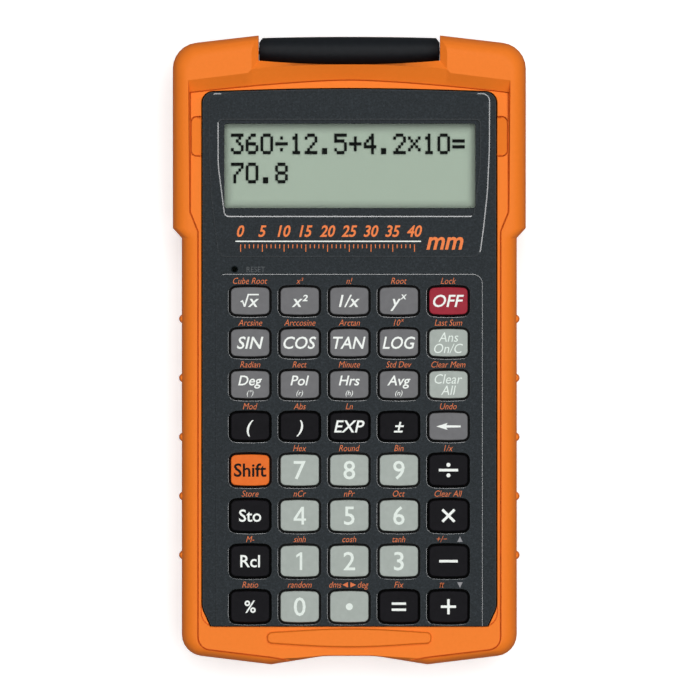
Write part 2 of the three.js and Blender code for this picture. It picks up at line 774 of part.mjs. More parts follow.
// Back housing: floor with battery opening, rails for the board and posts for the screws
function backHousing() {
  const top = partingLevel;
  const blank = housingBlank(moduleBack + backEdge, top + backEdge, backEdge);
  const above = block(-shoulderHalf, shoulderHalf, caseBottom, caseTop, top, keyTop);
  const shell = cutBy(blank, [above, cavity(backInner, top + overrun)]);
  const railTop = boardBottom - fitGap;
  const railOuter = boardHalf - railInset;
  const rails = [-railOuter, railOuter - railWidth].map((left) => {
    return block(left, left + railWidth, boardStart + railEndMargin, boardEnd - railEndMargin,
      backInner - overrun, railTop);
  });
  const posts = bossPlaces().map(([x, y]) => {
    return post(x, y, bossRadius, bossRadius, backInner - overrun, top, roundSides);
  });
  const wellOuter = cellRadius + fitGap + wellWall;
  const wellTop = backInner + wellHeight;
  const well = post(0, windowMiddle, wellOuter, wellOuter, backInner - overrun, wellTop, ringSides);
  const whole = joined([shell, ...rails, ...posts, well]);
  const screwBores = bossPlaces().map(([x, y]) => {
    const bore = boreRadius(screwRadius);
    return post(x, y, bore, bore, moduleBack - overrun, top + overrun, roundSides);
  });
  const headBores = bossPlaces().map(([x, y]) => {
    const bore = boreRadius(screwHeadRadius);
    const depth = moduleBack + screwHeadDepth + screwHeadHeight + fitGap;
    return post(x, y, bore, bore, moduleBack - overrun, depth, roundSides);
  });
  addPiece('back_housing', cutBy(whole, [...screwBores, ...headBores, ...batteryCuts()]), darkPlastic);
}

function doorCorners() {
  const half = cellRadius + doorMargin;
  return rectangle(half, windowMiddle - half, windowMiddle + half, doorCornerRadius);
}

function batteryCuts() {
  const door = movedIn(doorCorners(), -fitGap);
  const inner = boreRadius(cellRadius + fitGap);
  const contactRoom = contactWidth / 2 + fitGap;
  const well = post(0, windowMiddle, inner, inner, moduleBack - overrun, boardBottom, ringSides);
  return [
    slab(rounded(door), moduleBack - overrun, doorTop + fitGap / 2, smallSteps),
    well,
    block(-contactRoom, contactRoom, windowMiddle - cellRadius - wellWall - overrun, windowMiddle,
      backInner, boardBottom),
  ];
}

function batteryPieces() {
  const grooves = Array.from({ length: gripGrooveCount }, (_, index) => {
    const y = windowMiddle + cellRadius - doorLedge - 2 * index * gripGrooveWidth;
    return block(-gripGrooveLength / 2, gripGrooveLength / 2, y - gripGrooveWidth, y,
      moduleBack - overrun, moduleBack + gripGrooveDepth);
  });
  const door = cutBy(slab(rounded(doorCorners()), moduleBack, doorTop, smallSteps), grooves);
  const shoulder = cellRadius - cellStepInset;
  const cup = post(0, windowMiddle, cellRadius, cellRadius, cellBottom, cellTop - cellStep, ringSides);
  const cap = post(0, windowMiddle, shoulder, shoulder, cellBottom + cellStep, cellTop, ringSides);
  addPiece('battery_door', door, darkPlastic);
  addPiece('battery_cell', cup.add(cap), steel);
}

function batteryContacts() {
  const half = contactWidth / 2;
  const minus = block(-half, cellRadius + contactReach, windowMiddle - half, windowMiddle + half,
    contactBottom, contactTop);
  const leafBack = windowMiddle - cellRadius - fitGap;
  const leafFront = leafBack - contactThickness;
  const leaf = block(-half, half, leafFront, leafBack, cellBottom + cellStep, contactTop);
  const foot = block(-half, half, leafFront - contactReach, leafBack, contactBottom, contactTop);
  addPiece('battery_contact_minus', minus, steel);
  addPiece('battery_contact_plus', leaf.add(foot), steel);
}

// Display: clear window, glass and the rubber strip that joins it to the board
function displayPieces() {
  const opening = rectangle(windowHalf, windowBottom, windowTop, windowCornerRadius);
  const pane = rounded(movedIn(opening, -lensMargin));
  addPiece('display_lens', slab(pane, lensBottom, lensTop, smallSteps), clearPlastic);
  addPiece('display_glass', slab(pane, glassBottom, glassTop, smallSteps), displayGlass);
  const connectorHalf = boardHalf - connectorMargin;
  const connector = block(-connectorHalf, connectorHalf, windowBottom - connectorWidth, windowBottom,
    sheetBottom, connectorTop);
  addPiece('display_connector', connector, connectorRubber);
}

function circuitBoard() {
  const board = block(-boardHalf, boardHalf, boardStart, boardEnd, boardBottom, boardTop);
  addPiece('circuit_board', board, circuitLaminate);
}

// Dome sheet: a rubber sheet with a dome under every key
function domeSheet() {
  const sheet = block(-boardHalf, boardHalf, keypadBottom - flangeMargin, keypadTop + flangeMargin,
    sheetBottom, sheetTop);
  const domes = keyPlaces().map(({ x, y }) => {
    return post(x, y, domeRadius, domeTopRadius, sheetTop - sheetThickness / 2, domeTop, domeSides);
  });
  addPiece('dome_sheet', joined([sheet, ...domes]), siliconeRubber);
}

function screws() {
  bossPlaces().forEach(([x, y], index) => {
    const headBottom = moduleBack + screwHeadDepth;
    const headTop = headBottom + screwHeadHeight;
    const head = post(x, y, screwHeadRadius, screwHeadRadius, headBottom, headTop, roundSides);
    const shank = post(x, y, screwRadius, screwRadius, headTop - screwCrossDepth, plateBottom - screwTipGap,
      roundSides);
    const half = screwCrossWidth / 2;
    const long = screwCrossLength / 2;
    const slotTop = headBottom + screwCrossDepth;
    const cross = [
      block(x - half, x + half, y - long, y + long, headBottom - overrun, slotTop),
      block(x - long, x + long, y - half, y + half, headBottom - overrun, slotTop),
    ];
    addPiece(`housing_screw_${index + 1}`, cutBy(head.add(shank), cross), steel);
  });
}

// Keys: a crowned cap with a rounded top edge, on a flange that stops under the face plate
function keys() {
  keyPlaces().forEach(({ x, y, height, name, look }) => {
    const cap = slab(rounded(keyCorners(x, y, height, 0)), flangeBottom, keyTop, smallSteps, keyEdge);
    const across = keyWidth / 2 + flangeMargin;
    const along = height / 2 + flangeMargin;
    const flange = block(x - across, x + across, y - along, y + along, flangeBottom, flangeTop);
    addPiece(name, cap.add(flange), keyLooks[look]);
  });
}

caseTray();
flipLid();
hingeLink();
hingePins();
frontHousing();
backHousing();
batteryPieces();
batteryContacts();
displayPieces();
circuitBoard();
domeSheet();
screws();
keys();

export default part;
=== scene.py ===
import json
import math

import bmesh
import bpy
from mathutils import Matrix, Vector


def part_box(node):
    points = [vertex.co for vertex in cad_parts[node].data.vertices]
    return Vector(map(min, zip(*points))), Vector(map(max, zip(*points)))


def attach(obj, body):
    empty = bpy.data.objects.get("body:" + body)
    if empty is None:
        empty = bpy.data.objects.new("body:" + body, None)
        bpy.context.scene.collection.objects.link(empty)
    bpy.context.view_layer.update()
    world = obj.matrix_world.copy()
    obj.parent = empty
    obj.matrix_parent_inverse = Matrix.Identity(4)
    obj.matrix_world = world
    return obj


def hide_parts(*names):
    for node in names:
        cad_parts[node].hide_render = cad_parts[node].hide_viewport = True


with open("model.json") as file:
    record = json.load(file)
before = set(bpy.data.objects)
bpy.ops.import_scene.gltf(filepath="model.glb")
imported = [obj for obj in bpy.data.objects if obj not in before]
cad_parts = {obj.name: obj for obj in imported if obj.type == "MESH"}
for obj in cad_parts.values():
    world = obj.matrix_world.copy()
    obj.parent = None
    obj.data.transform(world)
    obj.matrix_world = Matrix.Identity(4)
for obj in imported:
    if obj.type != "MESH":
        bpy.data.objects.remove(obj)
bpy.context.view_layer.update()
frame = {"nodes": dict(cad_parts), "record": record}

mm = 0.001


# Small helpers

def deselectAll():
    bpy.ops.object.select_all(action='DESELECT')


def makeActive(piece):
    deselectAll()
    piece.select_set(True)
    bpy.context.view_layer.objects.active = piece


def nodeBox(node):
    low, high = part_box(node)
    return low / mm, high / mm


# A corner is (x, y, radius) in mm; an outline is the points of its closed line
def bothSides(rightCorners):
    left = [(-x, y, radius) for x, y, radius in rightCorners if x > 0]
    return rightCorners + left[::-1]


def rectangle(halfWidth, bottom, top, radius):
    return bothSides([(halfWidth, bottom, radius), (halfWidth, top, radius)])


def shifted(corners, across, along):
    return [(x + across, y + along, radius) for x, y, radius in corners]


def waysAt(corners, index):
    here = Vector(corners[index][:2])
    into = (here - Vector(corners[index - 1][:2])).normalized()
    out = (Vector(corners[(index + 1) % len(corners)][:2]) - here).normalized()
    return into, out


def movedIn(corners, inset):
    moved = []
    for index, (x, y, radius) in enumerate(corners):
        into, out = waysAt(corners, index)
        share = inset / (1 + into.dot(out))
        kept = max(radius - math.copysign(inset, inset * into.cross(out)), 0) if radius else 0
        moved.append((x - (into.y + out.y) * share, y + (into.x + out.x) * share, kept))
    return moved


def anglesOf(start, turn, steps):
    return [start + turn * step / steps for step in range(steps + 1)]


def arcPoints(x, y, radius, angles):
    return [(x + radius * math.cos(angle), y + radius * math.sin(angle)) for angle in angles]


def roundedOutline(corners, inset=0, steps=6):
    outline = []
    moved = movedIn(corners, inset)
    for index, (x, y, radius) in enumerate(moved):
        if corners[index][2] == 0:
            outline.append((x, y))
            continue
        into, out = waysAt(moved, index)
        turn = math.atan2(into.cross(out), into.dot(out))
        start = Vector((x, y)) - into * (radius * abs(math.tan(turn / 2)))
        centre = start + Vector((-into.y, into.x)) * radius * math.copysign(1, turn)
        first = math.atan2(start.y - centre.y, start.x - centre.x)
        outline += arcPoints(centre.x, centre.y, radius, anglesOf(first, turn, steps))
    return outline


def circleOutline(x, y, radius, sides=48):
    return arcPoints(x, y, radius, anglesOf(0, 2 * math.pi, sides)[:-1])


def blended(lower, upper, share):
    return [(a[0] + (b[0] - a[0]) * share, a[1] + (b[1] - a[1]) * share) for a, b in zip(lower, upper)]


# Pairs of inset and height from the bottom up, with a quarter-round edge at either end
def edgeProfile(bottom, top, lowEdge=(0, 0), highEdge=(0, 0), steps=4):
    quarters = anglesOf(0, math.pi / 2, steps)
    low = [(lowEdge[0] * (1 - math.sin(a)), bottom + lowEdge[1] * (1 - math.cos(a))) for a in quarters]
    high = [(highEdge[0] * (1 - math.cos(a)), top - highEdge[1] * (1 - math.sin(a))) for a in quarters]
    return (low if lowEdge[1] else low[-1:]) + (high if highEdge[1] else high[:1])


# A filled circle whose points go onto the first outline, extruded up to each next one
def liftOutlines(name, levels):
    outline, height = levels[0]
    deselectAll()
    bpy.ops.mesh.primitive_circle_add(vertices=len(outline), radius=mm, fill_type='NGON')
    piece = bpy.context.object
    piece.name = name
    for vertex, (x, y) in zip(piece.data.vertices, outline):
        vertex.co = (x * mm, y * mm, height * mm)
    bpy.ops.object.mode_set(mode='EDIT')
    bpy.ops.mesh.select_all(action='SELECT')
    for nextOutline, nextHeight in levels[1:]:
        rise = (nextHeight - height) * mm
        bpy.ops.mesh.extrude_region_move(TRANSFORM_OT_translate={"value": (0, 0, rise)})
        mesh = bmesh.from_edit_mesh(piece.data)
        top = next(face for face in mesh.faces if face.select)
        for vertex, (x, y) in zip(top.verts, nextOutline):
            vertex.co.xy = (x * mm, y * mm)
        bmesh.update_edit_mesh(piece.data)
        height = nextHeight
    bpy.ops.mesh.select_all(action='SELECT')
    bpy.ops.mesh.remove_doubles(threshold=0.001 * mm)
    bpy.ops.object.mode_set(mode='OBJECT')
    return piece


def raisePiece(name, corners, profile):
    return liftOutlines(name, [(roundedOutline(corners, inset), height) for inset, height in profile])


def prism(name, corners, bottom, top):
    return raisePiece(name, corners, [(0, bottom), (0, top)])


def circlePost(name, x, y, radius, bottom, top):
    outline = circleOutline(x, y, radius)
    return liftOutlines(name, [(outline, bottom), (outline, top)])


def combine(piece, tools, operation='DIFFERENCE'):
    for tool in tools:
        makeActive(piece)
        bpy.ops.object.modifier_add(type='BOOLEAN')
        change = piece.modifiers[-1]
        change.operation = operation
        change.solver = 'EXACT'
        change.object = tool
        bpy.ops.object.modifier_apply(modifier=change.name)
        bpy.data.objects.remove(tool)
    return piece


def joinPieces(pieces):
    if len(pieces) > 1:
        deselectAll()
        for piece in pieces:
            piece.select_set(True)
        bpy.context.view_layer.objects.active = pieces[0]
        bpy.ops.object.join()
    return pieces[0]


# A cutter for a narrow groove just inside an outline; how far its core goes below it decides how well it cuts
def grooveCutter(name, corners, width, floor, level, below=1):
    groove = prism(name, corners, floor, level + 0.1)
    return combine(groove, [prism('grooveCore', movedIn(corners, width), floor - below, level + 1)])


def editWhole(piece):
    makeActive(piece)
    bpy.ops.object.mode_set(mode='EDIT')
    bpy.ops.mesh.select_all(action='SELECT')


# New edges straight across a piece, which keep later cuts tidy
def splitAlong(piece, axis, places):
    direction = (1, 0, 0) if axis == 'x' else (0, 1, 0)
    editWhole(piece)
    for place in places:
        bpy.ops.mesh.select_all(action='SELECT')
        bpy.ops.mesh.bisect(plane_co=[part * place * mm for part in direction], plane_no=direction)
    bpy.ops.object.mode_set(mode='OBJECT')


# Merges the twin points that cuts leave behind
def mergeTwins(piece):
    editWhole(piece)
    bpy.ops.mesh.remove_doubles(threshold=0.0005 * mm)
    bpy.ops.mesh.dissolve_degenerate(threshold=0.0005 * mm)
    bpy.ops.object.mode_set(mode='OBJECT')


# Smooth shading that stops at real edges, with big flat faces kept flat
def softShade(piece, degrees=40):
    makeActive(piece)
    bpy.ops.object.shade_smooth_by_angle(angle=math.radians(degrees))
    bpy.ops.object.modifier_add(type='WEIGHTED_NORMAL')
    piece.modifiers[-1].keep_sharp = True
    bpy.ops.object.modifier_apply(modifier=piece.modifiers[-1].name)


def finishPiece(piece, body, material, nodes=()):
    piece.data.materials.clear()
    piece.data.materials.append(material)
    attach(piece, body)
    if nodes:
        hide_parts(*nodes)


# Materials

def toLinear(code):
    shares = [int(code[place:place + 2], 16) / 255 for place in (1, 3, 5)]
    return [s / 12.92 if s <= 0.04045 else ((s + 0.055) / 1.055) ** 2.4 for s in shares] + [1]


# Inputs are named, or numbered where a node has two of one name
def addNode(material, kind, inputs=None, **settings):
    node = material.node_tree.nodes.new(kind)
    for name, value in settings.items():
        setattr(node, name, value)
    for name, value in (inputs or {}).items():
        if isinstance(value, bpy.types.NodeSocket):
            material.node_tree.links.new(value, node.inputs[name])
        else:
            node.inputs[name].default_value = value
    return node


def newMaterial(name):
    material = bpy.data.materials.new(name)
    material.use_nodes = True
    material.node_tree.nodes.clear()
    return material


def perMetre(millimetres):
    return 1 / (millimetres * mm)


# Each step is a position and a colour code, or a grey as a number
def colourSteps(material, factor, steps):
    ramp = addNode(material, 'ShaderNodeValToRGB', {'Fac': factor})
    elements = ramp.color_ramp.elements
    while len(elements) < len(steps):
        elements.new(0.5)
    for element, (position, tone) in zip(elements, steps):
        element.position = position
        element.color = toLinear(tone) if isinstance(tone, str) else (tone, tone, tone, 1)
    return ramp.outputs['Color']


# A noise pattern drives the tone between the given ones, and a small bump where there is one
def patternedSurface(name, tones, places, pattern, bump, shading, stretch=None):
    material = newMaterial(name)
    vector = addNode(material, 'ShaderNodeTexCoord').outputs['Object']
    if stretch:
        vector = addNode(material, 'ShaderNodeMapping', {'Vector': vector, 'Scale': stretch}).outputs['Vector']
    noise = addNode(material, 'ShaderNodeTexNoise', {'Vector': vector, **pattern}).outputs['Fac']
    inputs = {'Base Color': colourSteps(material, noise, list(zip(places, tones.split()))), **shading}
    if bump:
        inputs['Normal'] = addNode(material, 'ShaderNodeBump', {'Height': noise, **bump}).outputs['Normal']
    shader = addNode(material, 'ShaderNodeBsdfPrincipled', inputs)
    addNode(material, 'ShaderNodeOutputMaterial', {'Surface': shader.outputs['BSDF']})
    return material


# Moulded plastic or printed ink: a tone that drifts a little, and a grain that shows in tone and bump
def grainedSurface(name, tones, roughness, grain, depth, specular=0.5, coat=0, places=(0.3, 0.7)):
    return patternedSurface(name, tones, places,
                            {'Scale': perMetre(grain), 'Detail': 3, 'Roughness': 0.6},
                            {'Strength': 0.5, 'Distance': depth * mm},
                            {'Roughness': roughness, 'IOR': 1.5, 'Specular IOR Level': specular,
                             'Coat Weight': coat, 'Coat Roughness': 0.3})


# Rolled or turned steel, plated: streaks along one way and a soft metal gloss
def platedSteel(name, tones, roughness, streak):
    return patternedSurface(name, tones, (0.3, 0.7), {'Scale': perMetre(streak), 'Detail': 2},
                            {'Strength': 0.3, 'Distance': 0.005 * mm}, {'Roughness': roughness, 'Metallic': 1},
                            (0.05, 1, 1))


# Injection-moulded ABS in safety orange, its mould spark-eroded: an even satin skin with a faint grain
orangeAbs = grainedSurface('orangeMouldedAbs', '#F37E26 #F68028', 0.5, 0.9, 0.003, 0.12)
# Charcoal ABS with a coarser etched grain: tiny lighter and darker flecks all over the face
charcoalAbs = grainedSurface('charcoalEtchedAbs', '#1F2528 #272D31 #353C41', 0.14, 0.45, 0.0006, 0.78,
                             places=(0.3, 0.55, 0.75))
# Black acetal, moulded in a polished tool: a soft sheen along the bar
blackAcetal = grainedSurface('blackMouldedAcetal', '#0E1216 #13171B', 0.55, 1.2, 0.004, 0.15)
# Lettering raised in the charcoal moulding, coloured a shade lighter than the face
dullLettering = grainedSurface('raisedCharcoalLettering', '#3A4043 #43494C', 0.5, 0.5, 0.002)
# Rear reflector of a liquid crystal display: brushed foil behind glass, a grey green with a fine sparkle
displayFoil = grainedSurface('displayReflectorFoil', '#B2C6B2 #BACDB9', 0.42, 0.25, 0.004)
# Switched liquid crystal: nearly black with a green cast
crystalDots = grainedSurface('switchedCrystalDots', '#050806 #090D0A', 0.6, 0.4, 0.002, 0.05)
# Silicone rubber, compression moulded: milky and dull
milkySilicone = grainedSurface('milkySiliconeRubber', '#D2CFC5 #DDDAD1', 0.65, 1, 0.01)
# Silicone filled with carbon in thin layers: dark and dull
layeredSilicone = grainedSurface('layeredCarbonSilicone', '#2E2E33 #44444A', 0.75, 0.4, 0.01,
                                 places=(0.4, 0.6))
# Glass-epoxy laminate under green solder mask: the weave shows through as a faint mottle
maskedLaminate = grainedSurface('maskedEpoxyLaminate', '#27613A #307145', 0.4, 0.8, 0.01, coat=0.5)
# Zinc-plated pins, screws and contacts: bright with a cool cast
zincSteel = platedSteel('zincPlatedSteel', '#B0B4B9 #C3C6CA', 0.3, 0.3)
# Nickel-plated can of a coin cell: warmer and a little duller
nickelSteel = platedSteel('nickelPlatedSteel', '#BFBFBA #CCCBC5', 0.25, 0.5)
# Cast acrylic window: nearly all of it is seen through, and its skin still mirrors the light
clearAcrylic = patternedSurface('castAcrylicWindow', '#2A302C #343A36', (0.3, 0.7),
                                {'Scale': perMetre(20), 'Detail': 1}, None,
                                {'Roughness': 0.08, 'IOR': 1.49, 'Alpha': 0.04})
# Keycaps in satin ABS: nearly flat tone, soft highlights on the edges
keycapTones = {'grey': ('#6A6A6C #707072', 0.45, 0.15), 'red': ('#962232 #9E2737', 0.45, 0.12),
               'pale': ('#A0A8A2 #A7AFA9', 0.45, 0.2), 'black': ('#0E0D11 #131216', 0.4, 0.06),
               'orange': ('#E36A21 #E97227', 0.45, 0.12)}
keycapLooks = {kind: grainedSurface(kind + 'SatinKeycap', tones, roughness, 1.4, 0.004, specular)
               for kind, (tones, roughness, specular) in keycapTones.items()}
# Pad-printed two-part ink: matt, slightly uneven where the pad let go
inkTones = {'white': ('#E9EEE9 #F4F7F3', 0.5), 'pale': ('#DCE6DF #E6EEE7', 0.5),
            'orange': ('#E9722B #F28034', 0.5), 'thinOrange': ('#D2662F #E07438', 0.5),
            'grey': ('#868689 #8E8E91', 0.5), 'black': ('#0D0A0A #120E0E', 0.1)}
inks = {kind: grainedSurface(kind + 'PadInk', tones, 0.6, 0.5, 0.004, specular)
        for kind, (tones, specular) in inkTones.items()}


# The tone grows from a share of itself to its full brightness while the value runs from start to full, in mm
def dimColour(material, value, start, full, share):
    grown = addNode(material, 'ShaderNodeMapRange', {
        'Value': value, 'From Min': start * mm, 'From Max': full * mm, 'To Min': share, 'To Max': 1})
    shader = material.node_tree.nodes['Principled BSDF']
    colour = shader.inputs['Base Color'].links[0].from_socket
    dimmed = addNode(material, 'ShaderNodeVectorMath', {0: colour, 'Scale': grown.outputs['Result']},
                     operation='SCALE')
    material.node_tree.links.new(dimmed.outputs['Vector'], shader.inputs['Base Color'])


print('materials made')

# Case tray
trayLow, trayHigh = nodeBox('case_tray')
faceLow, faceHigh = nodeBox('front_housing')
tray = {
    'bodyHalf': 38.58,
    'shoulderHalf': trayHigh.x,
    'shoulderTop': 28.06,
    'shoulderRun': 2.26,
    'top': trayHigh.y,
    'bottom': trayLow.y,
    'back': trayLow.z,
    'browLevel': trayHigh.z + 0.6,
    'ringLevel': 19.3,
    'bandLevel': 19.0,
    'scallopDepth': 1.95,
    'scallopFloor': 6,
    'scallopRadius': 24,
    'tipAcross': 18,
    'cornerRise': 2.5,
    'bottomCornerRadius': 5,
    'topCornerDrop': 2.3,
    'topCornerRadius': 6,
    'notchHalf': 20.9,
    'earStart': 22.5,
    'edgeAcross': 3.7,
    'edgeHeight': 4.2,
    'tipStrip': 1.9,
    'scallopStrip': 0.35,
    'browStart': 59.3,
}


def trayCorners(strip=0, tipStrip=0, scallopStrip=0):
    low = tray['bottom']
    half, shoulder = tray['bodyHalf'] - strip, tray['shoulderHalf'] - strip
    return bothSides([
        (tray['scallopFloor'], low + tray['scallopDepth'] + scallopStrip, tray['scallopRadius']),
        (tray['tipAcross'] + tipStrip / 2, low + tipStrip, 0),
        (half, low + tray['cornerRise'] + tipStrip, tray['bottomCornerRadius'] - strip / 2),
        (half, tray['shoulderTop'] - tray['shoulderRun'], 0),
        (shoulder, tray['shoulderTop'], 0),
        (shoulder, tray['top'] - tray['topCornerDrop'] - strip, tray['topCornerRadius'] - strip / 2),
        (tray['notchHalf'], tray['top'] - strip, 0),
    ])


def trayBody():
    silhouette = roundedOutline(trayCorners())
    under = roundedOutline(trayCorners(tray['edgeAcross'], tray['edgeAcross'], tray['edgeAcross']))
    upper = roundedOutline(trayCorners(tray['edgeAcross'], tray['tipStrip'], tray['scallopStrip']))
    edge = (1, tray['edgeHeight'])
    half = (tray['back'] + tray['browLevel']) / 2
    levels = [(blended(silhouette, under if height < half else upper, share), height)
              for share, height in edgeProfile(tray['back'], tray['browLevel'], edge, edge, 6)]
    body = liftOutlines('orangeTray', levels)
    splitAlong(body, 'y', (tray['shoulderTop'], tray['browStart']))
    ramp = (tray['browStart'] - tray['shoulderTop']) * mm
    for vertex in body.data.vertices:    # the rim climbs from the keypad end to the brow
        if vertex.co.z > half * mm:
            share = min(max((tray['browStart'] * mm - vertex.co.y) / ramp, 0), 1)
            vertex.co.z -= share * (tray['browLevel'] - tray['ringLevel']) * mm
    return body


# The crease where the rim stops: straight sides, a corner at the thumb end and a curved top
band = {
    'half': 34.95,
    'wideHalf': 36.75,
    'taperBottom': 27.2,
    'taperTop': 31.7,
    'topCorner': 59.4,
    'topMiddle': 62.3,
    'arcShare': 1.5,
    'arcPoints': 14,
    'earClear': 1.5,
    'notchSteps': [23.8, 23.3, 22.4, 21.9],
    'scallopCut': 1,
    'scallopEnd': 12.5,
    'scallopEndRise': 0.6,
    'stripAbove': 1.55,
    'cornerRadius': 3,
    'rimFlare': 0.3,
    'slopeCorner': 62.05,
    'slopeRise': 0.123,
    'pastLip': 0.1,
    'sinkStart': 58,
    'sinkDepth': 1.1,
    'grooveWidth': 0.3,
    'grooveDepth': 1.1,
    'overlap': 0.02,
}


def bandCorners():
    low = tray['bottom']
    climb = tray['cornerRise'] * (band['half'] - tray['tipAcross']) / (tray['bodyHalf'] - tray['tipAcross'])
    corners = [
        (tray['scallopFloor'], low + tray['scallopDepth'] - band['scallopCut'], 0),
        (band['scallopEnd'], low + band['scallopEndRise'], 0),
        (tray['tipAcross'], low + band['stripAbove'], 0),
        (band['half'], low + climb + band['stripAbove'], band['cornerRadius']),
        (band['half'], band['taperBottom'], 0),
        (band['wideHalf'], band['taperTop'], 0),
    ]
    steps = [band['wideHalf'] * (1 - step / band['arcPoints']) for step in range(band['arcPoints'] + 1)]
    steps = [across for across in steps if abs(across - tray['earStart']) > band['earClear']]
    for across in sorted(steps + band['notchSteps'], reverse=True):
        fall = (band['topMiddle'] - band['topCorner']) * (across / band['wideHalf']) ** band['arcShare']
        corners.append((across, band['topMiddle'] - fall, 0))
    return bothSides(corners)


# The notch's inner line: nearer to the hinge at the ends than in the middle
def notchLine(across, middle, end):
    return hinge['reach'] - middle + (middle - end) * (across / tray['notchHalf']) ** 2


def slopeTop(corners):
    made = []
    for x, y, radius in movedIn(corners, -band['rimFlare']):
        if y > band['topCorner'] - 1:
            y = band['slopeCorner'] + band['slopeRise'] * (band['wideHalf'] - abs(x))
            if abs(x) < tray['earStart']:
                y = notchLine(x, hinge['lipMiddle'], hinge['lipEnd'] + hinge['lipFlare']) + band['pastLip']
        made.append((x, y, radius))
    return made


# Towards the brow the band dips, which makes the slope above it steeper
def sinkTop(piece):
    splitAlong(piece, 'y', [band['sinkStart']])
    run = band['topMiddle'] - band['sinkStart']
    for vertex in piece.data.vertices:
        share = max(vertex.co.y / mm - band['sinkStart'], 0) / run
        if vertex.co.z < (tray['bandLevel'] + 0.5) * mm:
            vertex.co.z -= share * band['sinkDepth'] * mm
    return piece


def bandCut():
    crease = bandCorners()
    lower, upper = roundedOutline(crease), roundedOutline(slopeTop(crease))
    levels = [(lower, tray['bandLevel']), (upper, tray['browLevel']), (upper, tray['browLevel'] + 1)]
    return sinkTop(liftOutlines('bandCut', levels))


def creaseGroove():
    floor = tray['bandLevel'] - band['grooveDepth']
    return sinkTop(grooveCutter('creaseGroove', movedIn(bandCorners(), band['overlap']), band['grooveWidth'],
                                floor, tray['bandLevel']))


# Outline of the calculator's face, down to where it shows or to its end under the tray's lip
face = {
    'half': faceHigh.x,
    'end': faceLow.y,
    'bottom': -63.63,
    'top': faceHigh.y,
    'crown': 0.85,
    'crownRadius': 600,
    'crownLift': 0.19,
    'cornerRadius': 2.4,
    'cutAcross': 2.05,
    'cutAlong': 4.4,
    'cutRadius': 5,
    'glintRun': 0.26,
    'glintRise': 0.0747,
    'edgeRun': 0.16,
    'edgeRise': 0.08,
    'level': 19.2,
    'islandLevel': faceHigh.z,
    'plateBottom': 17.4,
    'wallBottom': faceLow.z,
    'wall': 1.5,
    'gap': 0.3,
    'lipOverlap': 0.2,
}


def faceCorners(end):
    cut = face['cutAcross'] * (1 + (face['bottom'] - end) / face['cutAlong'])
    return bothSides([
        (face['half'] - cut, end, 0),
        (face['half'], face['bottom'] + face['cutAlong'], face['cutRadius']),
        (face['half'], face['top'] - face['crown'], face['cornerRadius']),
        (0, face['top'] + face['crownLift'], face['crownRadius']),
    ])


pocket = {'floor': 6.3, 'lipUnderside': 18.2, 'mouthFlare': 0.15, 'ledgeDepth': 0.3, 'ledgeRadius': 3.4,
          'ledgeLength': 8, 'lineWidth': 0.22, 'lineDepth': 0.5, 'open': 21}


def pocketCuts():
    gap, flare, level = face['gap'], pocket['mouthFlare'], tray['bandLevel']
    mouth = movedIn(faceCorners(face['bottom'] + gap), -gap)
    under = movedIn(faceCorners(face['end']), -gap)
    ledge = rectangle(face['half'] + gap + flare, face['bottom'] - flare, face['bottom'] + pocket['ledgeLength'],
                      pocket['ledgeRadius'])
    floor = level - pocket['ledgeDepth']
    return [
        raisePiece('pocketMouth', mouth, [(0, pocket['floor']), (0, level - flare), (-flare, level),
                                          (-flare, pocket['open'])]),
        prism('pocketUnder', under, pocket['floor'], pocket['lipUnderside']),
        prism('pocketLedge', ledge, floor, pocket['open']),
        grooveCutter('pocketLine', ledge, pocket['lineWidth'], floor - pocket['lineDepth'], floor,
                     1 - pocket['lineDepth']),
    ]


hinge = {
    'reach': 68.93,
    'caseAxis': 12.25,
    'lidAxis': 2.1,
    'barHalf': 3.28,
    'barEndHalf': 2.66,
    'barTipHalf': 2.35,
    'barEndShift': 0.35,
    'barEnd': 20.78,
    'barTip': 0.3,
    'footShare': 0.95,
    'headSteps': 24,
    'footSteps': 16,
    'tipSteps': 6,
    'halfSteps': 8,
    'shoulder': [(21.1, 70.4), (21.1, 73.4), (18.9, 73.4)],
    'shoulderTop': 18,
    'lipMiddle': 3.26,
    'lipEnd': 2.36,
    'lipUnder': 17.6,
    'lipFlare': 1.9,
    'lipDrop': 1.3,
    'notchGap': 0.15,
    'boreRadius': 0.87,
    'blindEnd': 28.9,
    'throughEnd': 30,
    'knuckleHalf': 14,
    'knuckleGap': 0.3,
}


# A point (y, z) of an outline stands across the width, and the outline is lifted along it
def layAlongX(piece):
    piece.data.transform(Matrix(((0, 0, 1, 0), (1, 0, 0, 0), (0, 1, 0, 0), (0, 0, 0, 1))))
    return piece


def hingeBore(start, end, height):
    return layAlongX(circlePost('hingeBore', hinge['reach'], height, hinge['boreRadius'], start, end))


# A crisp edge where a bore comes out
def sharpenMouth(piece, height):
    centre = Vector((0, hinge['reach'] * mm, height * mm))
    makeActive(piece)
    bpy.ops.object.mode_set(mode='EDIT')
    bpy.ops.mesh.select_mode(type='EDGE')
    bpy.ops.mesh.select_all(action='DESELECT')
    mesh = bmesh.from_edit_mesh(piece.data)
    inBore = [(face.calc_center_median() - centre).yz.length < hinge['boreRadius'] * mm for face in mesh.faces]
    for edge in mesh.edges:
        if len({inBore[face.index] for face in edge.link_faces}) == 2:
            edge.select_set(True)
    bpy.ops.mesh.mark_sharp()
    bpy.ops.mesh.select_mode(type='VERT')
    bpy.ops.object.mode_set(mode='OBJECT')


def notchOutline(wall, middle, end):
    places = [wall * (step / 12 - 1) for step in range(25)]
    back = [(across, notchLine(across, middle, end)) for across in places]
    return back + [(wall, tray['top'] + 1), (-wall, tray['top'] + 1)]


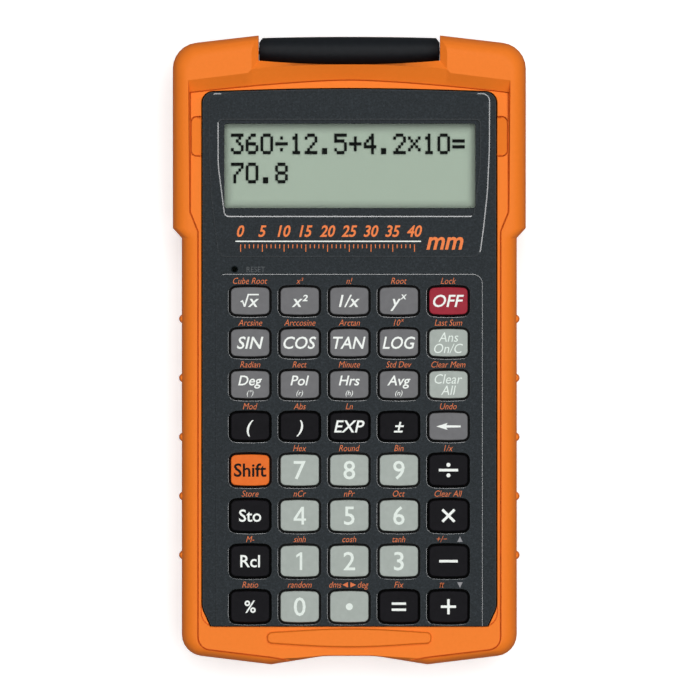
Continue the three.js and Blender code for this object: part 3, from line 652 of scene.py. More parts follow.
# The bar is bent outwards at its ends. Under the brow's lip there is room for it to turn half round.
def notchCuts():
    wall, gap = tray['notchHalf'], hinge['notchGap']
    end = hinge['barEndHalf'] + hinge['barEndShift']
    lip = notchOutline(wall, hinge['lipMiddle'], hinge['lipEnd'])
    flared = notchOutline(tray['earStart'], hinge['lipMiddle'], hinge['lipEnd'] + hinge['lipFlare'])
    room = notchOutline(wall, hinge['barHalf'] + gap, end + gap)
    low, high = tray['back'] - 1, tray['browLevel']
    lipLevels = [(lip, low), (lip, high - hinge['lipDrop']), (flared, high), (flared, high + 1)]
    return [liftOutlines('notchLip', lipLevels),
            liftOutlines('notchRoom', [(room, low), (room, hinge['lipUnder'])])]


tab = {'bottom': 44.46, 'top': 53.86, 'inner': face['half'] - 1, 'outer': 36.55, 'groove': 0.3, 'depth': 1.5,
       'radius': 1.5, 'dip': 0.9}


# A snap tab dips towards the face, inside a groove that lets it bend
def tabGroove(side):
    middle = (tab['outer'] + tab['inner']) / 2 * side
    outer = rectangle((tab['outer'] - tab['inner']) / 2, tab['bottom'], tab['top'], tab['radius'])
    return grooveCutter('tabGroove', shifted(outer, middle, 0), tab['groove'], tray['bandLevel'] - tab['depth'],
                        tray['bandLevel'])


def tabDip(side):
    start, edge, end = tab['inner'], face['half'] + face['gap'], tab['outer'] - tab['groove']
    low, high = tab['bottom'] + tab['groove'], tab['top'] - tab['groove']
    levels = []
    for across, level in ((edge, tray['bandLevel'] - tab['dip']), (end, tray['bandLevel'])):
        box = shifted(rectangle((across - start) / 2, low, high, 0), (across + start) / 2 * side, 0)
        levels.append((roundedOutline(box), level))
    return liftOutlines('tabDip', levels + [(levels[-1][0], tray['bandLevel'] + 1)])


ribs = {'count': 5, 'pitch': 13.6, 'lowest': 25.2, 'radius': 1.02, 'across': 38.21, 'endMargin': 3.2,
        'edge': (0.6, 1.5)}


def gripRibs():
    made = []
    radius = ribs['radius']
    profile = edgeProfile(tray['back'] + ribs['endMargin'], tray['ringLevel'] - ribs['endMargin'],
                          ribs['edge'], ribs['edge'])
    for index in range(ribs['count']):
        along = tray['bottom'] + ribs['lowest'] + index * ribs['pitch']
        for side in (-1, 1):
            corners = shifted(rectangle(radius, -radius, radius, radius * 0.99), side * ribs['across'], along)
            made.append(raisePiece('gripRib', corners, profile))
    return joinPieces(made)


pad = {'along': -66.23, 'half': 18.9, 'endHalf': 1.25, 'endRadius': 1.1, 'apex': 2.45, 'crownRadius': 150,
       'height': 1, 'edge': (0.45, 0.8)}


def thumbPad():
    corners = bothSides([
        (0, pad['along'] - pad['apex'], pad['crownRadius']),
        (pad['half'], pad['along'] - pad['endHalf'], pad['endRadius']),
        (pad['half'], pad['along'] + pad['endHalf'], pad['endRadius']),
        (0, pad['along'] + pad['apex'], pad['crownRadius']),
    ])
    level = tray['bandLevel']
    return raisePiece('thumbPad', corners, edgeProfile(level - 1, level + pad['height'], (0, 0), pad['edge']))


orangeTray = trayBody()
combine(orangeTray, [gripRibs()], 'UNION')
combine(orangeTray, [bandCut(), creaseGroove(), *pocketCuts(), *notchCuts()])
for side in (-1, 1):
    combine(orangeTray, [tabGroove(side), tabDip(side)])
mergeTwins(orangeTray)
combine(orangeTray, [hingeBore(-hinge['blindEnd'], tray['shoulderHalf'] + 1, hinge['caseAxis'])])
sharpenMouth(orangeTray, hinge['caseAxis'])
combine(orangeTray, [thumbPad()], 'UNION')
mergeTwins(orangeTray)
softShade(orangeTray, 30)
finishPiece(orangeTray, 'case', orangeAbs, ['case_tray'])
print('tray made', len(orangeTray.data.polygons), 'faces')

# Flip lid: a shallow cover, folded under the tray with its open side down
lid = {'top': 4.2, 'rim': 2.4, 'wall': 2.6, 'edge': (0.7, 0.7), 'inset': 0.4, 'start': 65.1, 'landLength': 5,
       'cornerRadius': 2, 'flare': 0.3, 'step': 0.45, 'stepStart': 50, 'stepInset': 1.4}


def flipLid():
    body = raisePiece('foldedLid', movedIn(trayCorners(), lid['inset']),
                      edgeProfile(0, lid['top'], lid['edge'], lid['edge']))
    wall, flare, radius = lid['wall'], lid['flare'], lid['cornerRadius']
    hollow = bothSides([
        (tray['bodyHalf'] - wall, tray['bottom'] + tray['scallopDepth'] + lid['landLength'], radius),
        (tray['bodyHalf'] - wall, tray['shoulderTop'] - tray['shoulderRun'], 0),
        (tray['shoulderHalf'] - wall, tray['shoulderTop'], 0),
        (tray['shoulderHalf'] - wall, lid['start'] - wall, radius),
    ])
    beyond = rectangle(tray['shoulderHalf'] + 1, lid['start'], tray['top'] + 1, 0)
    # Room for the brow when the lid is closed
    step = rectangle(tray['shoulderHalf'] - lid['stepInset'], lid['stepStart'], tray['top'] + 1, 0)
    combine(body, [
        raisePiece('lidHollow', hollow, [(-flare, -1), (-flare, flare), (0, 2 * flare), (0, lid['rim'])]),
        prism('lidStep', step, -1, lid['step']),
        prism('lidEnd', beyond, -1, lid['top'] + 1),
    ])
    half = hinge['knuckleHalf']
    neck = rectangle(half, lid['start'] - 1, hinge['reach'], 0)
    knuckle = circlePost('lidKnuckle', hinge['reach'], hinge['lidAxis'], hinge['lidAxis'], -half, half)
    combine(body, [prism('lidNeck', neck, lid['step'], lid['top']), layAlongX(knuckle)], 'UNION')
    return combine(body, [hingeBore(-half - 1, half + 1, hinge['lidAxis'])])


foldedLid = flipLid()
softShade(foldedLid)
finishPiece(foldedLid, 'lid', orangeAbs, ['flip_lid'])
print('lid made')


# Hinge link: a barrel round the case's pin that tapers down to the lid's pin
def linkSection(swell, place):
    head, foot = hinge['barHalf'] * swell, hinge['lidAxis'] * swell * hinge['footShare']
    shift = hinge['barEndShift'] * (place / hinge['barEnd']) ** 2
    lean = math.asin((head - foot) / (hinge['caseAxis'] - hinge['lidAxis']))
    outline = []
    for angle in anglesOf(-lean, math.pi + 2 * lean, hinge['headSteps']):
        rise = head * math.sin(angle)
        share = min(max(1 + rise / head, 0), 1)
        outline.append((hinge['reach'] + head * math.cos(angle) + shift * share, hinge['caseAxis'] + rise))
    return outline + arcPoints(hinge['reach'], hinge['lidAxis'], foot,
                               anglesOf(math.pi + lean, math.pi - 2 * lean, hinge['footSteps']))


def hingeLink():
    straight = hinge['barEnd'] - hinge['barTip']
    tips = []
    for angle in anglesOf(0, math.pi / 2, hinge['tipSteps']):
        tip = hinge['barTipHalf'] + (hinge['barEndHalf'] - hinge['barTipHalf']) * math.sin(angle)
        tips.append((-straight - hinge['barTip'] * math.cos(angle), tip / hinge['barHalf']))
    swells = list(tips)
    for step in range(1, 2 * hinge['halfSteps']):
        place = step / hinge['halfSteps'] - 1
        swell = hinge['barHalf'] - (hinge['barHalf'] - hinge['barEndHalf']) * place ** 2
        swells.append((straight * place, swell / hinge['barHalf']))
    swells += [(-place, swell) for place, swell in tips[::-1]]
    link = layAlongX(liftOutlines('hingeBar', [(linkSection(swell, place), place) for place, swell in swells]))
    room = rectangle(hinge['knuckleHalf'] + hinge['knuckleGap'], lid['start'] - 1, tray['top'] + 1, 0)
    shoulder = hinge['shoulder']
    for outline in (shoulder, [(-x, y) for x, y in shoulder[::-1]]):
        combine(link, [liftOutlines('barShoulder', [(outline, -1), (outline, hinge['shoulderTop'])])])
    through = hinge['throughEnd']
    return combine(link, [
        prism('knuckleRoom', room, -1, tray['back']),
        hingeBore(-through, through, hinge['caseAxis']),
        hingeBore(-through, through, hinge['lidAxis']),
    ])


hingeBar = hingeLink()
softShade(hingeBar)
finishPiece(hingeBar, 'link', blackAcetal, ['hinge_link'])
print('hinge made')

# Keys: their places come from the frame, and each of the two cap heights is modelled once
keycap = {'flangeMargin': 0.7, 'flangeThickness': 0.8, 'cornerRadius': 1.25, 'crown': 0.3, 'crownRadius': 40,
          'crownLift': 0.08, 'edge': (0.22, 0.3), 'draft': 0.14, 'holeGap': 0.41, 'rimRun': 0.13,
          'inkRoom': 0.04, 'gapShadeStart': 18.5, 'gapShadeFull': 18.9, 'gapShadeShare': 0.03}
keyNodes = sorted(node for node in frame['nodes'] if node.startswith('key_'))
slotOfNode = {row['node']: row['material_slot'] for row in frame['record']['subparts']}


def keyPlace(node):
    low, high = nodeBox(node)
    size = (high.x - low.x - 2 * keycap['flangeMargin'], high.y - low.y - 2 * keycap['flangeMargin'])
    return (low + high) / 2, size, low.z, high.z


def keyCorners(width, height):
    return bothSides([
        (0, -height / 2 - keycap['crownLift'], keycap['crownRadius']),
        (width / 2, -height / 2 + keycap['crown'], keycap['cornerRadius']),
        (width / 2, height / 2 - keycap['crown'], keycap['cornerRadius']),
        (0, height / 2 + keycap['crownLift'], keycap['crownRadius']),
    ])


def keycapPattern(width, height, bottom, top):
    flange = bottom + keycap['flangeThickness']
    cap = edgeProfile(flange, top - keycap['inkRoom'], (0, 0), keycap['edge'], 5)
    profile = [(-keycap['flangeMargin'], bottom), (-keycap['flangeMargin'], flange), (0, flange)]
    profile += [(inset + keycap['draft'], level) for inset, level in cap]
    pattern = raisePiece('keycapPattern', keyCorners(width, height), profile)
    softShade(pattern)
    return pattern


def copyOf(pattern, name, x, y):
    copied = pattern.copy()
    copied.data = pattern.data.copy()
    copied.name = name
    bpy.context.scene.collection.objects.link(copied)
    copied.data.transform(Matrix.Translation((x * mm, y * mm, 0)))
    return copied


# Painted shade: below the plate the keycap's colour darkens to near black, as the shade in the gap round each
# key
for look in keycapLooks.values():
    place = addNode(look, 'ShaderNodeTexCoord').outputs['Object']
    height = addNode(look, 'ShaderNodeSeparateXYZ', {'Vector': place}).outputs['Z']
    dimColour(look, height, keycap['gapShadeStart'], keycap['gapShadeFull'], keycap['gapShadeShare'])

# Front housing: plate with walls, two islands, the display window, the reset hole and a hole for every key
island = {
    'keypadHalf': 30.65,
    'keypadTop': 17.46,
    'keypadShare': 0.36,
    'radius': 2.2,
    'displaySide': [(30.1, 21.4, 2), (31.05, 28.4, 40), (31.9, 36.3, 60), (32.35, 46, 60), (32.4, 59.1, 1.8)],
    'litEnd': 26,
    'litFade': 3.5,
}
window = {
    'half': 29,
    'leftHalf': 28.75,
    'bottom': 32.66,
    'top': 52.06,
    'radius': 0.6,
    'recessSide': [(28.75, 30.6, 1.2), (30.3, 42.5, 30), (30.3, 53.2, 1.2)],
    'recessLevel': 18.9,
    'wallRun': 0.25,
    'chamfer': 0.15,
    'rebateMargin': 1.9,
    'rebateLevel': 18.2,
}
reset = {'across': -26.4, 'along': 18.56, 'radius': 0.65, 'rimRadius': 0.85, 'rimDepth': 0.28, 'wordGap': 4.9,
         'wordHeight': 1.25, 'wordDrop': 0.65, 'wordSqueeze': 0.9, 'wordWeight': -0.008}
boss = {'radius': 1.9, 'bore': 0.95}


# Facets that lean about 16 degrees, so that they mirror the strip lights: up a wall and inwards to the top
def glintEdge(bottom, top, run, rise=None):
    rise = rise or run * face['glintRise'] / face['glintRun']
    return [(0, bottom), (0, top - rise), (run, top)]


def glintMouth(bottom, top, run):
    rise = run * face['glintRise'] / face['glintRun']
    return [(0, bottom), (0, top - rise), (-run, top), (-run, top + 1)]


def islandSlabs():
    keypad = bothSides([(island['keypadHalf'], face['end'], 0),
                        (island['keypadHalf'], island['keypadTop'], island['radius'])])
    top = island['displaySide'][-1][1]
    display = bothSides(island['displaySide'] + [(island['litEnd'] + island['litFade'], top, 0),
                                                 (island['litEnd'], top, 0)])
    low, high, run = face['level'] - 1, face['islandLevel'], face['glintRun']
    keypadSlab = raisePiece('keypadIsland', keypad, glintEdge(low, high, run * island['keypadShare']))
    levels = []
    for inset, level in glintEdge(low, high, run):
        # The top side of this island fades into a plain wall
        slope = [(x, y + (inset if abs(x) == island['litEnd'] else 0), radius) for x, y, radius in display]
        levels.append((roundedOutline(slope, inset), level))
    return [keypadSlab, liftOutlines('displayIsland', levels)]


def windowCuts():
    opening = [(x, y, window['radius']) for x, y in (
        (window['half'], window['bottom']), (window['half'], window['top']),
        (-window['leftHalf'], window['top']), (-window['leftHalf'], window['bottom']))]
    recess = movedIn(bothSides(window['recessSide']), window['wallRun'])
    floor, high, low = window['recessLevel'], face['islandLevel'], face['plateBottom'] - 1
    chamfer = window['chamfer']
    return [
        raisePiece('windowOpening', opening, [(0, low), (0, floor - chamfer), (-chamfer, floor),
                                              (-chamfer, high + 1)]),
        raisePiece('windowRecess', recess, glintMouth(floor, high, face['glintRun'])),
        prism('windowRebate', movedIn(opening, -window['rebateMargin']), low, window['rebateLevel']),
    ]


def resetCut():
    level = face['level']
    hole, rim = [circleOutline(reset['across'], reset['along'], radius)
                 for radius in (reset['radius'], reset['rimRadius'])]
    return liftOutlines('resetHole', [(hole, face['wallBottom'] - 1), (hole, level - reset['rimDepth']),
                                      (rim, level + 0.02), (rim, level + 1)])


def keyHoles():
    profile = glintMouth(face['plateBottom'] - 1, face['islandLevel'], keycap['rimRun'])
    holes = []
    for node in keyNodes:
        middle, size, bottom, top = keyPlace(node)
        corners = shifted(movedIn(keyCorners(*size), -keycap['holeGap']), middle.x, middle.y)
        holes.append(raisePiece('keyHole', corners, profile))
    return joinPieces(holes)


def atScrews(name, radius, bottom, top):
    boxes = [nodeBox('housing_screw_%d' % number) for number in (1, 2, 3, 4)]
    return joinPieces([circlePost(name, (low.x + high.x) / 2, (low.y + high.y) / 2, radius, bottom, top)
                       for low, high in boxes])


def facePlate():
    bottom, high = face['wallBottom'], face['level']
    plate = raisePiece('facePlate', faceCorners(face['end']),
                       glintEdge(bottom, high, face['edgeRun'], face['edgeRise']))
    combine(plate, islandSlabs(), 'UNION')
    places = [keyPlace(node)[0] for node in keyNodes]
    for axis in ('x', 'y'):
        lines = sorted({round(getattr(place, axis), 2) for place in places})
        splitAlong(plate, axis, [(a + b) / 2 for a, b in zip(lines, lines[1:])])
    inside = movedIn(faceCorners(face['end']), face['wall'])
    lip = rectangle(face['half'] + 1, tray['bottom'], face['bottom'] + face['lipOverlap'], 0)
    combine(plate, [
        prism('plateCavity', inside, bottom - 1, face['plateBottom']),
        prism('lipStep', lip, pocket['lipUnderside'] - face['gap'], high + 1),
        *windowCuts(), resetCut(), keyHoles(),
    ])
    combine(plate, [atScrews('screwBoss', boss['radius'], bottom, (face['plateBottom'] + high) / 2)], 'UNION')
    return combine(plate, [atScrews('screwBore', boss['bore'], bottom - 1, face['plateBottom'])])


darkPlate = facePlate()
mergeTwins(darkPlate)
softShade(darkPlate, 12)
finishPiece(darkPlate, 'case', charcoalAbs, ['front_housing'])
print('face plate made', len(darkPlate.data.polygons), 'faces')

keycapPatterns = {}
for node in keyNodes:
    middle, size, bottom, top = keyPlace(node)
    kind = round(size[1], 1)
    if kind not in keycapPatterns:
        keycapPatterns[kind] = keycapPattern(*size, bottom, top)
    cap = copyOf(keycapPatterns[kind], node + '_cap', middle.x, middle.y)
    slotName = slotOfNode[node]
    finishPiece(cap, node, keycapLooks[slotName.removeprefix('key_')], [node])
for pattern in keycapPatterns.values():
    bpy.data.objects.remove(pattern)
print('keys made')

# Printed words and signs: each is a thin solid of ink
ink = {'thickness': 0.05, 'capHeight': 0.682, 'resolution': 3, 'sunk': 0.005, 'inIsland': 0.02}
inkLevel = {'key': nodeBox('key_7')[1].z - ink['thickness'] / 2 - ink['sunk'],
            'island': face['islandLevel'] + ink['thickness'] / 2 - ink['inIsland']}


# Text is made at size 1, then scaled and set down with its middle and baseline where they belong
def inkText(name, text, height, middle, baseline, level, squeeze=1, widest=math.inf, slant=0, weight=0):
    deselectAll()
    bpy.ops.object.text_add()
    piece = bpy.context.object
    piece.name = name
    piece.data.body = text
    piece.data.shear = slant
    piece.data.offset = weight
    piece.data.extrude = 0.5
    piece.data.resolution_u = ink['resolution']
    bpy.ops.object.convert(target='MESH')
    piece = bpy.context.object
    editWhole(piece)
    bpy.ops.mesh.remove_doubles(threshold=0.0001)
    bpy.ops.mesh.normals_make_consistent(inside=False)
    bpy.ops.object.mode_set(mode='OBJECT')
    across = [vertex.co.x for vertex in piece.data.vertices]
    left, right = min(across), max(across)
    tall = height / ink['capHeight']
    wide = min(tall * squeeze, widest / (right - left))
    place = Matrix.Translation(((middle - (left + right) / 2 * wide) * mm, baseline * mm, level * mm))
    piece.data.transform(place @ Matrix.Diagonal((wide * mm, tall * mm, ink['thickness'] * mm, 1)))
    return piece


def inkSpan(level):
    return level - ink['thickness'] / 2, level + ink['thickness'] / 2


def bar(name, width, height, x, y, level, radius=0.05):
    corners = shifted(rectangle(width / 2, -height / 2, height / 2, radius), x, y)
    return prism(name, corners, *inkSpan(level))


def polygonInk(name, points, level):
    low, high = inkSpan(level)
    return liftOutlines(name, [(points, low), (points, high)])


def finishInk(name, pieces, body, slotName, kind=None):
    printed = joinPieces(pieces)
    printed.name = name
    finishPiece(printed, body, inks[kind or slotName.removeprefix('ink_')])


# One line of a legend: text, cap height, how far its middle is from the key's, and how far across
def word(text, height=2.7, drop=0, across=0):
    return (text, height, drop - height / 2, across)


def twoLines(upper, lower):
    return [word(upper, 2.15, 1.3), word(lower, 2.15, -1.3)]


def withUnit(text, unit):
    return [word(text, 2.2, 0.95), word(unit, 1.1, -1.9)]


legends = {
    'square_root': [word('x', across=0.75)], 'square': [word('x²')], 'reciprocal': [word('1/x')],
    'power': [word('y', across=-0.75), word('x', 1.6, 1.2, 1.1)], 'off': [word('OFF')],
    'sine': [word('SIN')], 'cosine': [word('COS')], 'tangent': [word('TAN')], 'logarithm': [word('LOG')],
    'on': twoLines('Ans', 'On/C'), 'angle_unit': withUnit('Deg', '(°)'), 'polar': withUnit('Pol', '(r)'),
    'hours': withUnit('Hrs', '(h)'), 'mean': withUnit('Avg', '(n)'), 'clear_all': twoLines('Clear', 'All'),
    'open_bracket': [word('(')], 'close_bracket': [word(')')], 'exponent': [word('EXP')], 'sign': [word('±')],
    'shift': [word('Shift', 2.9)], 'store': [word('Sto')], 'recall': [word('Rcl')], 'percent': [word('%')],
}
legend = {'slant': 0.22, 'slantedRows': 4, 'paleSqueeze': 0.92, 'widest': 7.5, 'weight': 0.012,
          'shiftWeight': 0.017, 'plainBelow': 1.5, 'digitHeight': 4.1, 'digitWeight': 0.008, 'barRadius': 0.1}
# Operator signs have even strokes: bars are (width, height, rise) and dots are (radius, rise)
signs = {
    'divide': {'bars': [(4.45, 0.6, 0)], 'dots': [(0.46, 1.2), (0.46, -1.2)]},
    'multiply': {'bars': [(3.95, 0.6, 0), (0.6, 3.95, 0)], 'turn': 45},
    'minus': {'bars': [(4.27, 0.58, 0)]},
    'equals': {'bars': [(3.3, 0.56, 0.7), (3.3, 0.56, -0.7)]},
    'plus': {'bars': [(3.5, 0.58, 0), (0.58, 3.5, 0)]},
    'decimal_point': {'dots': [(0.8, 0)]},
}
# Drawn by their outlines: the one and the four with an even stroke, the root sign and an arrow
drawn = {
    '1': [[(0, -2.05), (0.58, -2.05), (0.58, 2.05), (0.12, 2.05), (-0.8, 1.42), (-0.8, 0.82), (0, 1.32)]],
    '4': [[(0.4, -2.05), (0.98, -2.05), (0.98, 2.05), (0.4, 2.05)],
          [(-1.42, -1.17), (1.45, -1.17), (1.45, -0.64), (-1.42, -0.64)],
          [(-1.42, -1.16), (-1, -1.16), (0.97, 2.04), (0.38, 2.04), (-1.42, -0.66)]],
    'square_root': [[(-1.45, -1.35), (-1.1, -1.35), (-0.3, 1.3), (2, 1.3), (2, 1.62), (-0.55, 1.62),
                     (-1.3, -0.75), (-1.7, 0.2), (-2.25, -0.1), (-2.1, -0.35), (-1.82, -0.2)]],
    'backspace': [[(-2.8, 0), (-0.2, -0.8), (-0.5, -0.28), (2.8, -0.22), (2.8, 0.22), (-0.5, 0.28),
                   (-0.2, 0.8)]],
}


def signPieces(sign, x, y, level):
    bars = [bar('signBar', width, height, x, y + rise, level, legend['barRadius'])
            for width, height, rise in sign.get('bars', [])]
    dots = [circlePost('signDot', x, y + rise, radius, *inkSpan(level))
            for radius, rise in sign.get('dots', [])]
    pieces = ([combine(bars[0], bars[1:], 'UNION')] if bars else []) + dots
    if 'turn' in sign:
        turn = Matrix.Rotation(math.radians(sign['turn']), 4, 'Z')
        place = Matrix.Translation((x * mm, y * mm, 0))
        pieces[0].data.transform(place @ turn @ place.inverted())
    return pieces


def legendOf(node, row):
    middle = keyPlace(node)[0]
    x, y = middle.x, middle.y
    name = node.removeprefix('key_')
    level = inkLevel['key']
    paleKey = slotOfNode[node] == 'key_pale'
    pieces = signPieces(signs[name], x, y, level) if name in signs else []
    if name in drawn:
        strokes = [polygonInk('stroke', [(x + across, y + along) for across, along in stroke], level)
                   for stroke in drawn[name]]
        pieces.append(combine(strokes[0], strokes[1:], 'UNION'))
    elif name.isdigit():
        height = legend['digitHeight']
        pieces.append(inkText('digit', name, height, x, y - height / 2, level, weight=legend['digitWeight']))
    slant = legend['slant'] if row < legend['slantedRows'] else 0
    squeeze = legend['paleSqueeze'] if paleKey else 1
    for text, height, base, across in legends.get(name, []):
        weight = legend['shiftWeight'] if name == 'shift' else legend['weight']
        if paleKey or height < legend['plainBelow']:
            weight = 0
        pieces.append(inkText('word', text, height, x + across, y + base, level, squeeze, legend['widest'],
                              slant, weight))
    finishInk('legend_' + name, pieces, node, 'ink_black' if name == 'shift' else 'ink_white',
              'pale' if paleKey else None)


def rowsOfKeys():
    rows = {}
    for node in keyNodes:
        middle = keyPlace(node)[0]
        rows.setdefault(round(-middle.y, 1), []).append((middle.x, node))
    return [[node for x, node in sorted(rows[row])] for row in sorted(rows)]


# Small labels stand over the keys, row by row
smallWords = [
    ['Cube Root', 'x³', 'n!', 'Root', 'Lock'],
    ['Arcsine', 'Arccosine', 'Arctan', '10ˣ', 'Last Sum'],
    ['Radian', 'Rect', 'Minute', 'Std Dev', 'Clear Mem'],
    ['Mod', 'Abs', 'Ln', '', 'Undo'],
    ['', 'Hex', 'Round', 'Bin', '1/x'],
    ['Store', 'nCr', 'nPr', 'Oct', 'Clear All'],
    ['M-', 'sinh', 'cosh', 'tanh', '+/−'],
    ['Ratio', 'random', '', 'Fix', 'π'],
]
label = {'height': 1.4, 'above': 0.56, 'squeeze': 0.86, 'widest': 8.8, 'slant': 0.28, 'weight': -0.006,
         'besideArrow': 1.5, 'arrowAcross': 2.65, 'arrowRise': 0.65, 'leftArrow': -0.9, 'rightArrow': 0.85,
         'pairAcross': 3.2, 'pairWidest': 3.4}
arrowTurns = {'up': 0, 'left': 90, 'down': 180, 'right': 270}
keyRows = rowsOfKeys()


def smallLabel(text, across, baseline, widest=label['widest']):
    return inkText('smallLabel', text, label['height'], across, baseline, inkLevel['island'], label['squeeze'],
                   widest, label['slant'], label['weight'])


def arrowPiece(x, y, direction):
    turn = math.radians(arrowTurns[direction])
    turned = [(x + a * math.cos(turn) - b * math.sin(turn), y + a * math.sin(turn) + b * math.cos(turn))
              for a, b in ((-0.62, -0.6), (0.62, -0.6), (0, 0.7))]
    return polygonInk('smallArrow', turned, inkLevel['island'])


def lineOver(node):
    middle, size, bottom, top = keyPlace(node)
    return middle.x, middle.y + size[1] / 2 + label['above']


smallPieces = []
for row, nodes in enumerate(keyRows):
    for column, node in enumerate(nodes):
        legendOf(node, row)
        across, baseline = lineOver(node)
        text = smallWords[row][column]
        if text:
            beside = label['besideArrow'] if column == 4 and row > 5 else 0
            smallPieces.append(smallLabel(text, across - beside, baseline))
across, baseline = lineOver(keyRows[7][2])
smallPieces += [arrowPiece(across + label['leftArrow'], baseline + label['arrowRise'], 'left'),
                arrowPiece(across + label['rightArrow'], baseline + label['arrowRise'], 'right'),
                smallLabel('dms', across - label['pairAcross'], baseline, label['pairWidest']),
                smallLabel('deg', across + label['pairAcross'], baseline, label['pairWidest'])]
finishInk('smallLabels', smallPieces, 'case', 'ink_orange', 'thinOrange')
print('legends made')

# Name strip: a plain millimetre scale under the display, in the same colours
strip = {'zero': -25, 'length': 40, 'numberStep': 5, 'numberHeight': 2.5, 'numberLine': 26.1, 'squeeze': 0.9,
         'slant': 0.25, 'weight': 0.02, 'tickTop': 24.3, 'tickWidth': 0.18, 'longTick': 1.7, 'shortTick': 0.9,
         'unitAcross': 22, 'unitLine': 23.2, 'unitHeight': 4, 'unitWidest': 8.5, 'ruleLine': 25,
         'ruleMiddle': -4.85, 'ruleLength': 42.7, 'ruleWidth': 0.28}


def scalePieces():
    level = inkLevel['island']
    made = []
    for number in range(0, strip['length'] + 1, strip['numberStep']):
        made.append(inkText('scaleNumber', str(number), strip['numberHeight'], strip['zero'] + number,
                            strip['numberLine'], level, strip['squeeze'], slant=strip['slant'],
                            weight=strip['weight']))
    for step in range(strip['length'] + 1):
        length = strip['shortTick'] if step % strip['numberStep'] else strip['longTick']
        made.append(bar('scaleTick', strip['tickWidth'], length, strip['zero'] + step,
                        strip['tickTop'] - length / 2, level, 0.02))
    made.append(inkText('scaleUnit', 'mm', strip['unitHeight'], strip['unitAcross'], strip['unitLine'], level,
                        1, strip['unitWidest'], strip['slant'], strip['weight']))
    return made


finishInk('millimetreScale', scalePieces(), 'case', 'ink_orange')
resetWord = inkText('resetWord', 'RESET', reset['wordHeight'], reset['across'] + reset['wordGap'],
                    reset['along'] - reset['wordDrop'], face['level'] + ink['thickness'] / 2,
                    reset['wordSqueeze'], weight=reset['wordWeight'])
finishPiece(resetWord, 'case', dullLettering)
rule = bar('scaleRule', strip['ruleLength'], strip['ruleWidth'], strip['ruleMiddle'], strip['ruleLine'],
           inkLevel['island'])
finishInk('scaleRule', [rule], 'case', 'ink_white')
cursorArrows = []
for row, direction in ((6, 'up'), (7, 'down')):
    across, baseline = lineOver(keyRows[row][4])
    cursorArrows.append(arrowPiece(across + label['arrowAcross'], baseline + label['arrowRise'], direction))
finishInk('cursorArrows', cursorArrows, 'case', 'ink_grey')
print('labels made')

# Display: foil, dots and pane in place of the glass
display = {
    'foilTop': 16.55,
    'foilEdge': 0.05,
    'paneGap': 0.02,
    'paneEdge': 0.08,
    'cornerRadius': 0.4,
    'dotLow': 16.85,
    'dotHigh': 16.95,
    'left': -27.2,
    'lines': [('360÷12.5+4.2×10=', 49.8), ('70.8', 43.1)],
    'dotAcross': 0.566,
    'dotAlong': 0.67,
    'dotShare': 1.1,
    'charDots': 6,
    'rimRun': 2.3,
    'rimShade': 0.56,
    'rimAcross': 0.2,
    'rimDrop': 0.25,
    'rimMargin': 0.1,
}
# Each row of a character is a number whose five binary digits say which dots are on, from the left
dotRows = {
    '0': (14, 17, 17, 17, 17, 17, 14), '1': (4, 12, 4, 4, 4, 4, 14), '2': (14, 17, 1, 2, 4, 8, 31),
    '3': (31, 2, 4, 2, 1, 17, 14), '4': (2, 6, 10, 18, 31, 2, 2), '5': (31, 16, 30, 1, 1, 17, 14),
    '6': (6, 8, 16, 30, 17, 17, 14), '7': (31, 1, 2, 4, 8, 8, 8), '8': (14, 17, 17, 14, 17, 17, 14),
    '.': (0, 0, 0, 0, 0, 12, 12), '+': (0, 4, 4, 31, 4, 4, 0), '=': (0, 0, 31, 0, 31, 0, 0),
    '÷': (0, 4, 0, 31, 0, 4, 0), '×': (0, 17, 10, 4, 10, 17, 0),
}


def displayLines():
    halfWidth = display['dotAcross'] * display['dotShare'] / 2
    halfHeight = display['dotAlong'] * display['dotShare'] / 2
    dot = prism('displayDot', rectangle(halfWidth, -halfHeight, halfHeight, 0), display['dotLow'],
                display['dotHigh'])
    dots = []
    for text, top in display['lines']:
        for place, character in enumerate(text):
            for row, bits in enumerate(dotRows[character]):
                for column in range(5):
                    if bits >> (4 - column) & 1:
                        along = place * display['charDots'] + column + 0.5
                        x = display['left'] + along * display['dotAcross']
                        y = top - (row + 0.5) * display['dotAlong']
                        dots.append(copyOf(dot, 'displayDot', x, y))
    bpy.data.objects.remove(dot)
    return joinPieces(dots)


# Painted shade: the foil's colour darkens towards the rim of the display window, where the window's walls shade
# it
def dullRim(material):
    place = addNode(material, 'ShaderNodeTexCoord').outputs['Object']
    parts = addNode(material, 'ShaderNodeSeparateXYZ', {'Vector': place})
    middle = (window['bottom'] + window['top']) / 2 - display['rimDrop']
    halfHeight = (window['top'] - window['bottom']) / 2 + display['rimMargin']
    rims = []
    for axis, centre, half in (('X', display['rimAcross'], window['half']), ('Y', middle, halfHeight)):
        offset = addNode(material, 'ShaderNodeMath', {0: parts.outputs[axis], 1: centre * mm},
                         operation='SUBTRACT')
        away = addNode(material, 'ShaderNodeMath', {0: offset.outputs[0]}, operation='ABSOLUTE')
        rims.append(addNode(material, 'ShaderNodeMath', {0: half * mm, 1: away.outputs[0]},
                            operation='SUBTRACT'))
    nearest = addNode(material, 'ShaderNodeMath', {0: rims[0].outputs[0], 1: rims[1].outputs[0]},
                      operation='MINIMUM')
    dimColour(material, nearest.outputs[0], 0, display['rimRun'], display['rimShade'])


def glassLayer(name, bottom, top, edge, material, nodes=()):
    corners = rectangle(glassHigh.x, glassLow.y, glassHigh.y, display['cornerRadius'])
    layer = raisePiece(name, corners, edgeProfile(bottom, top, (edge, edge), (edge, edge), 2))
    softShade(layer)
    finishPiece(layer, 'case', material, nodes)


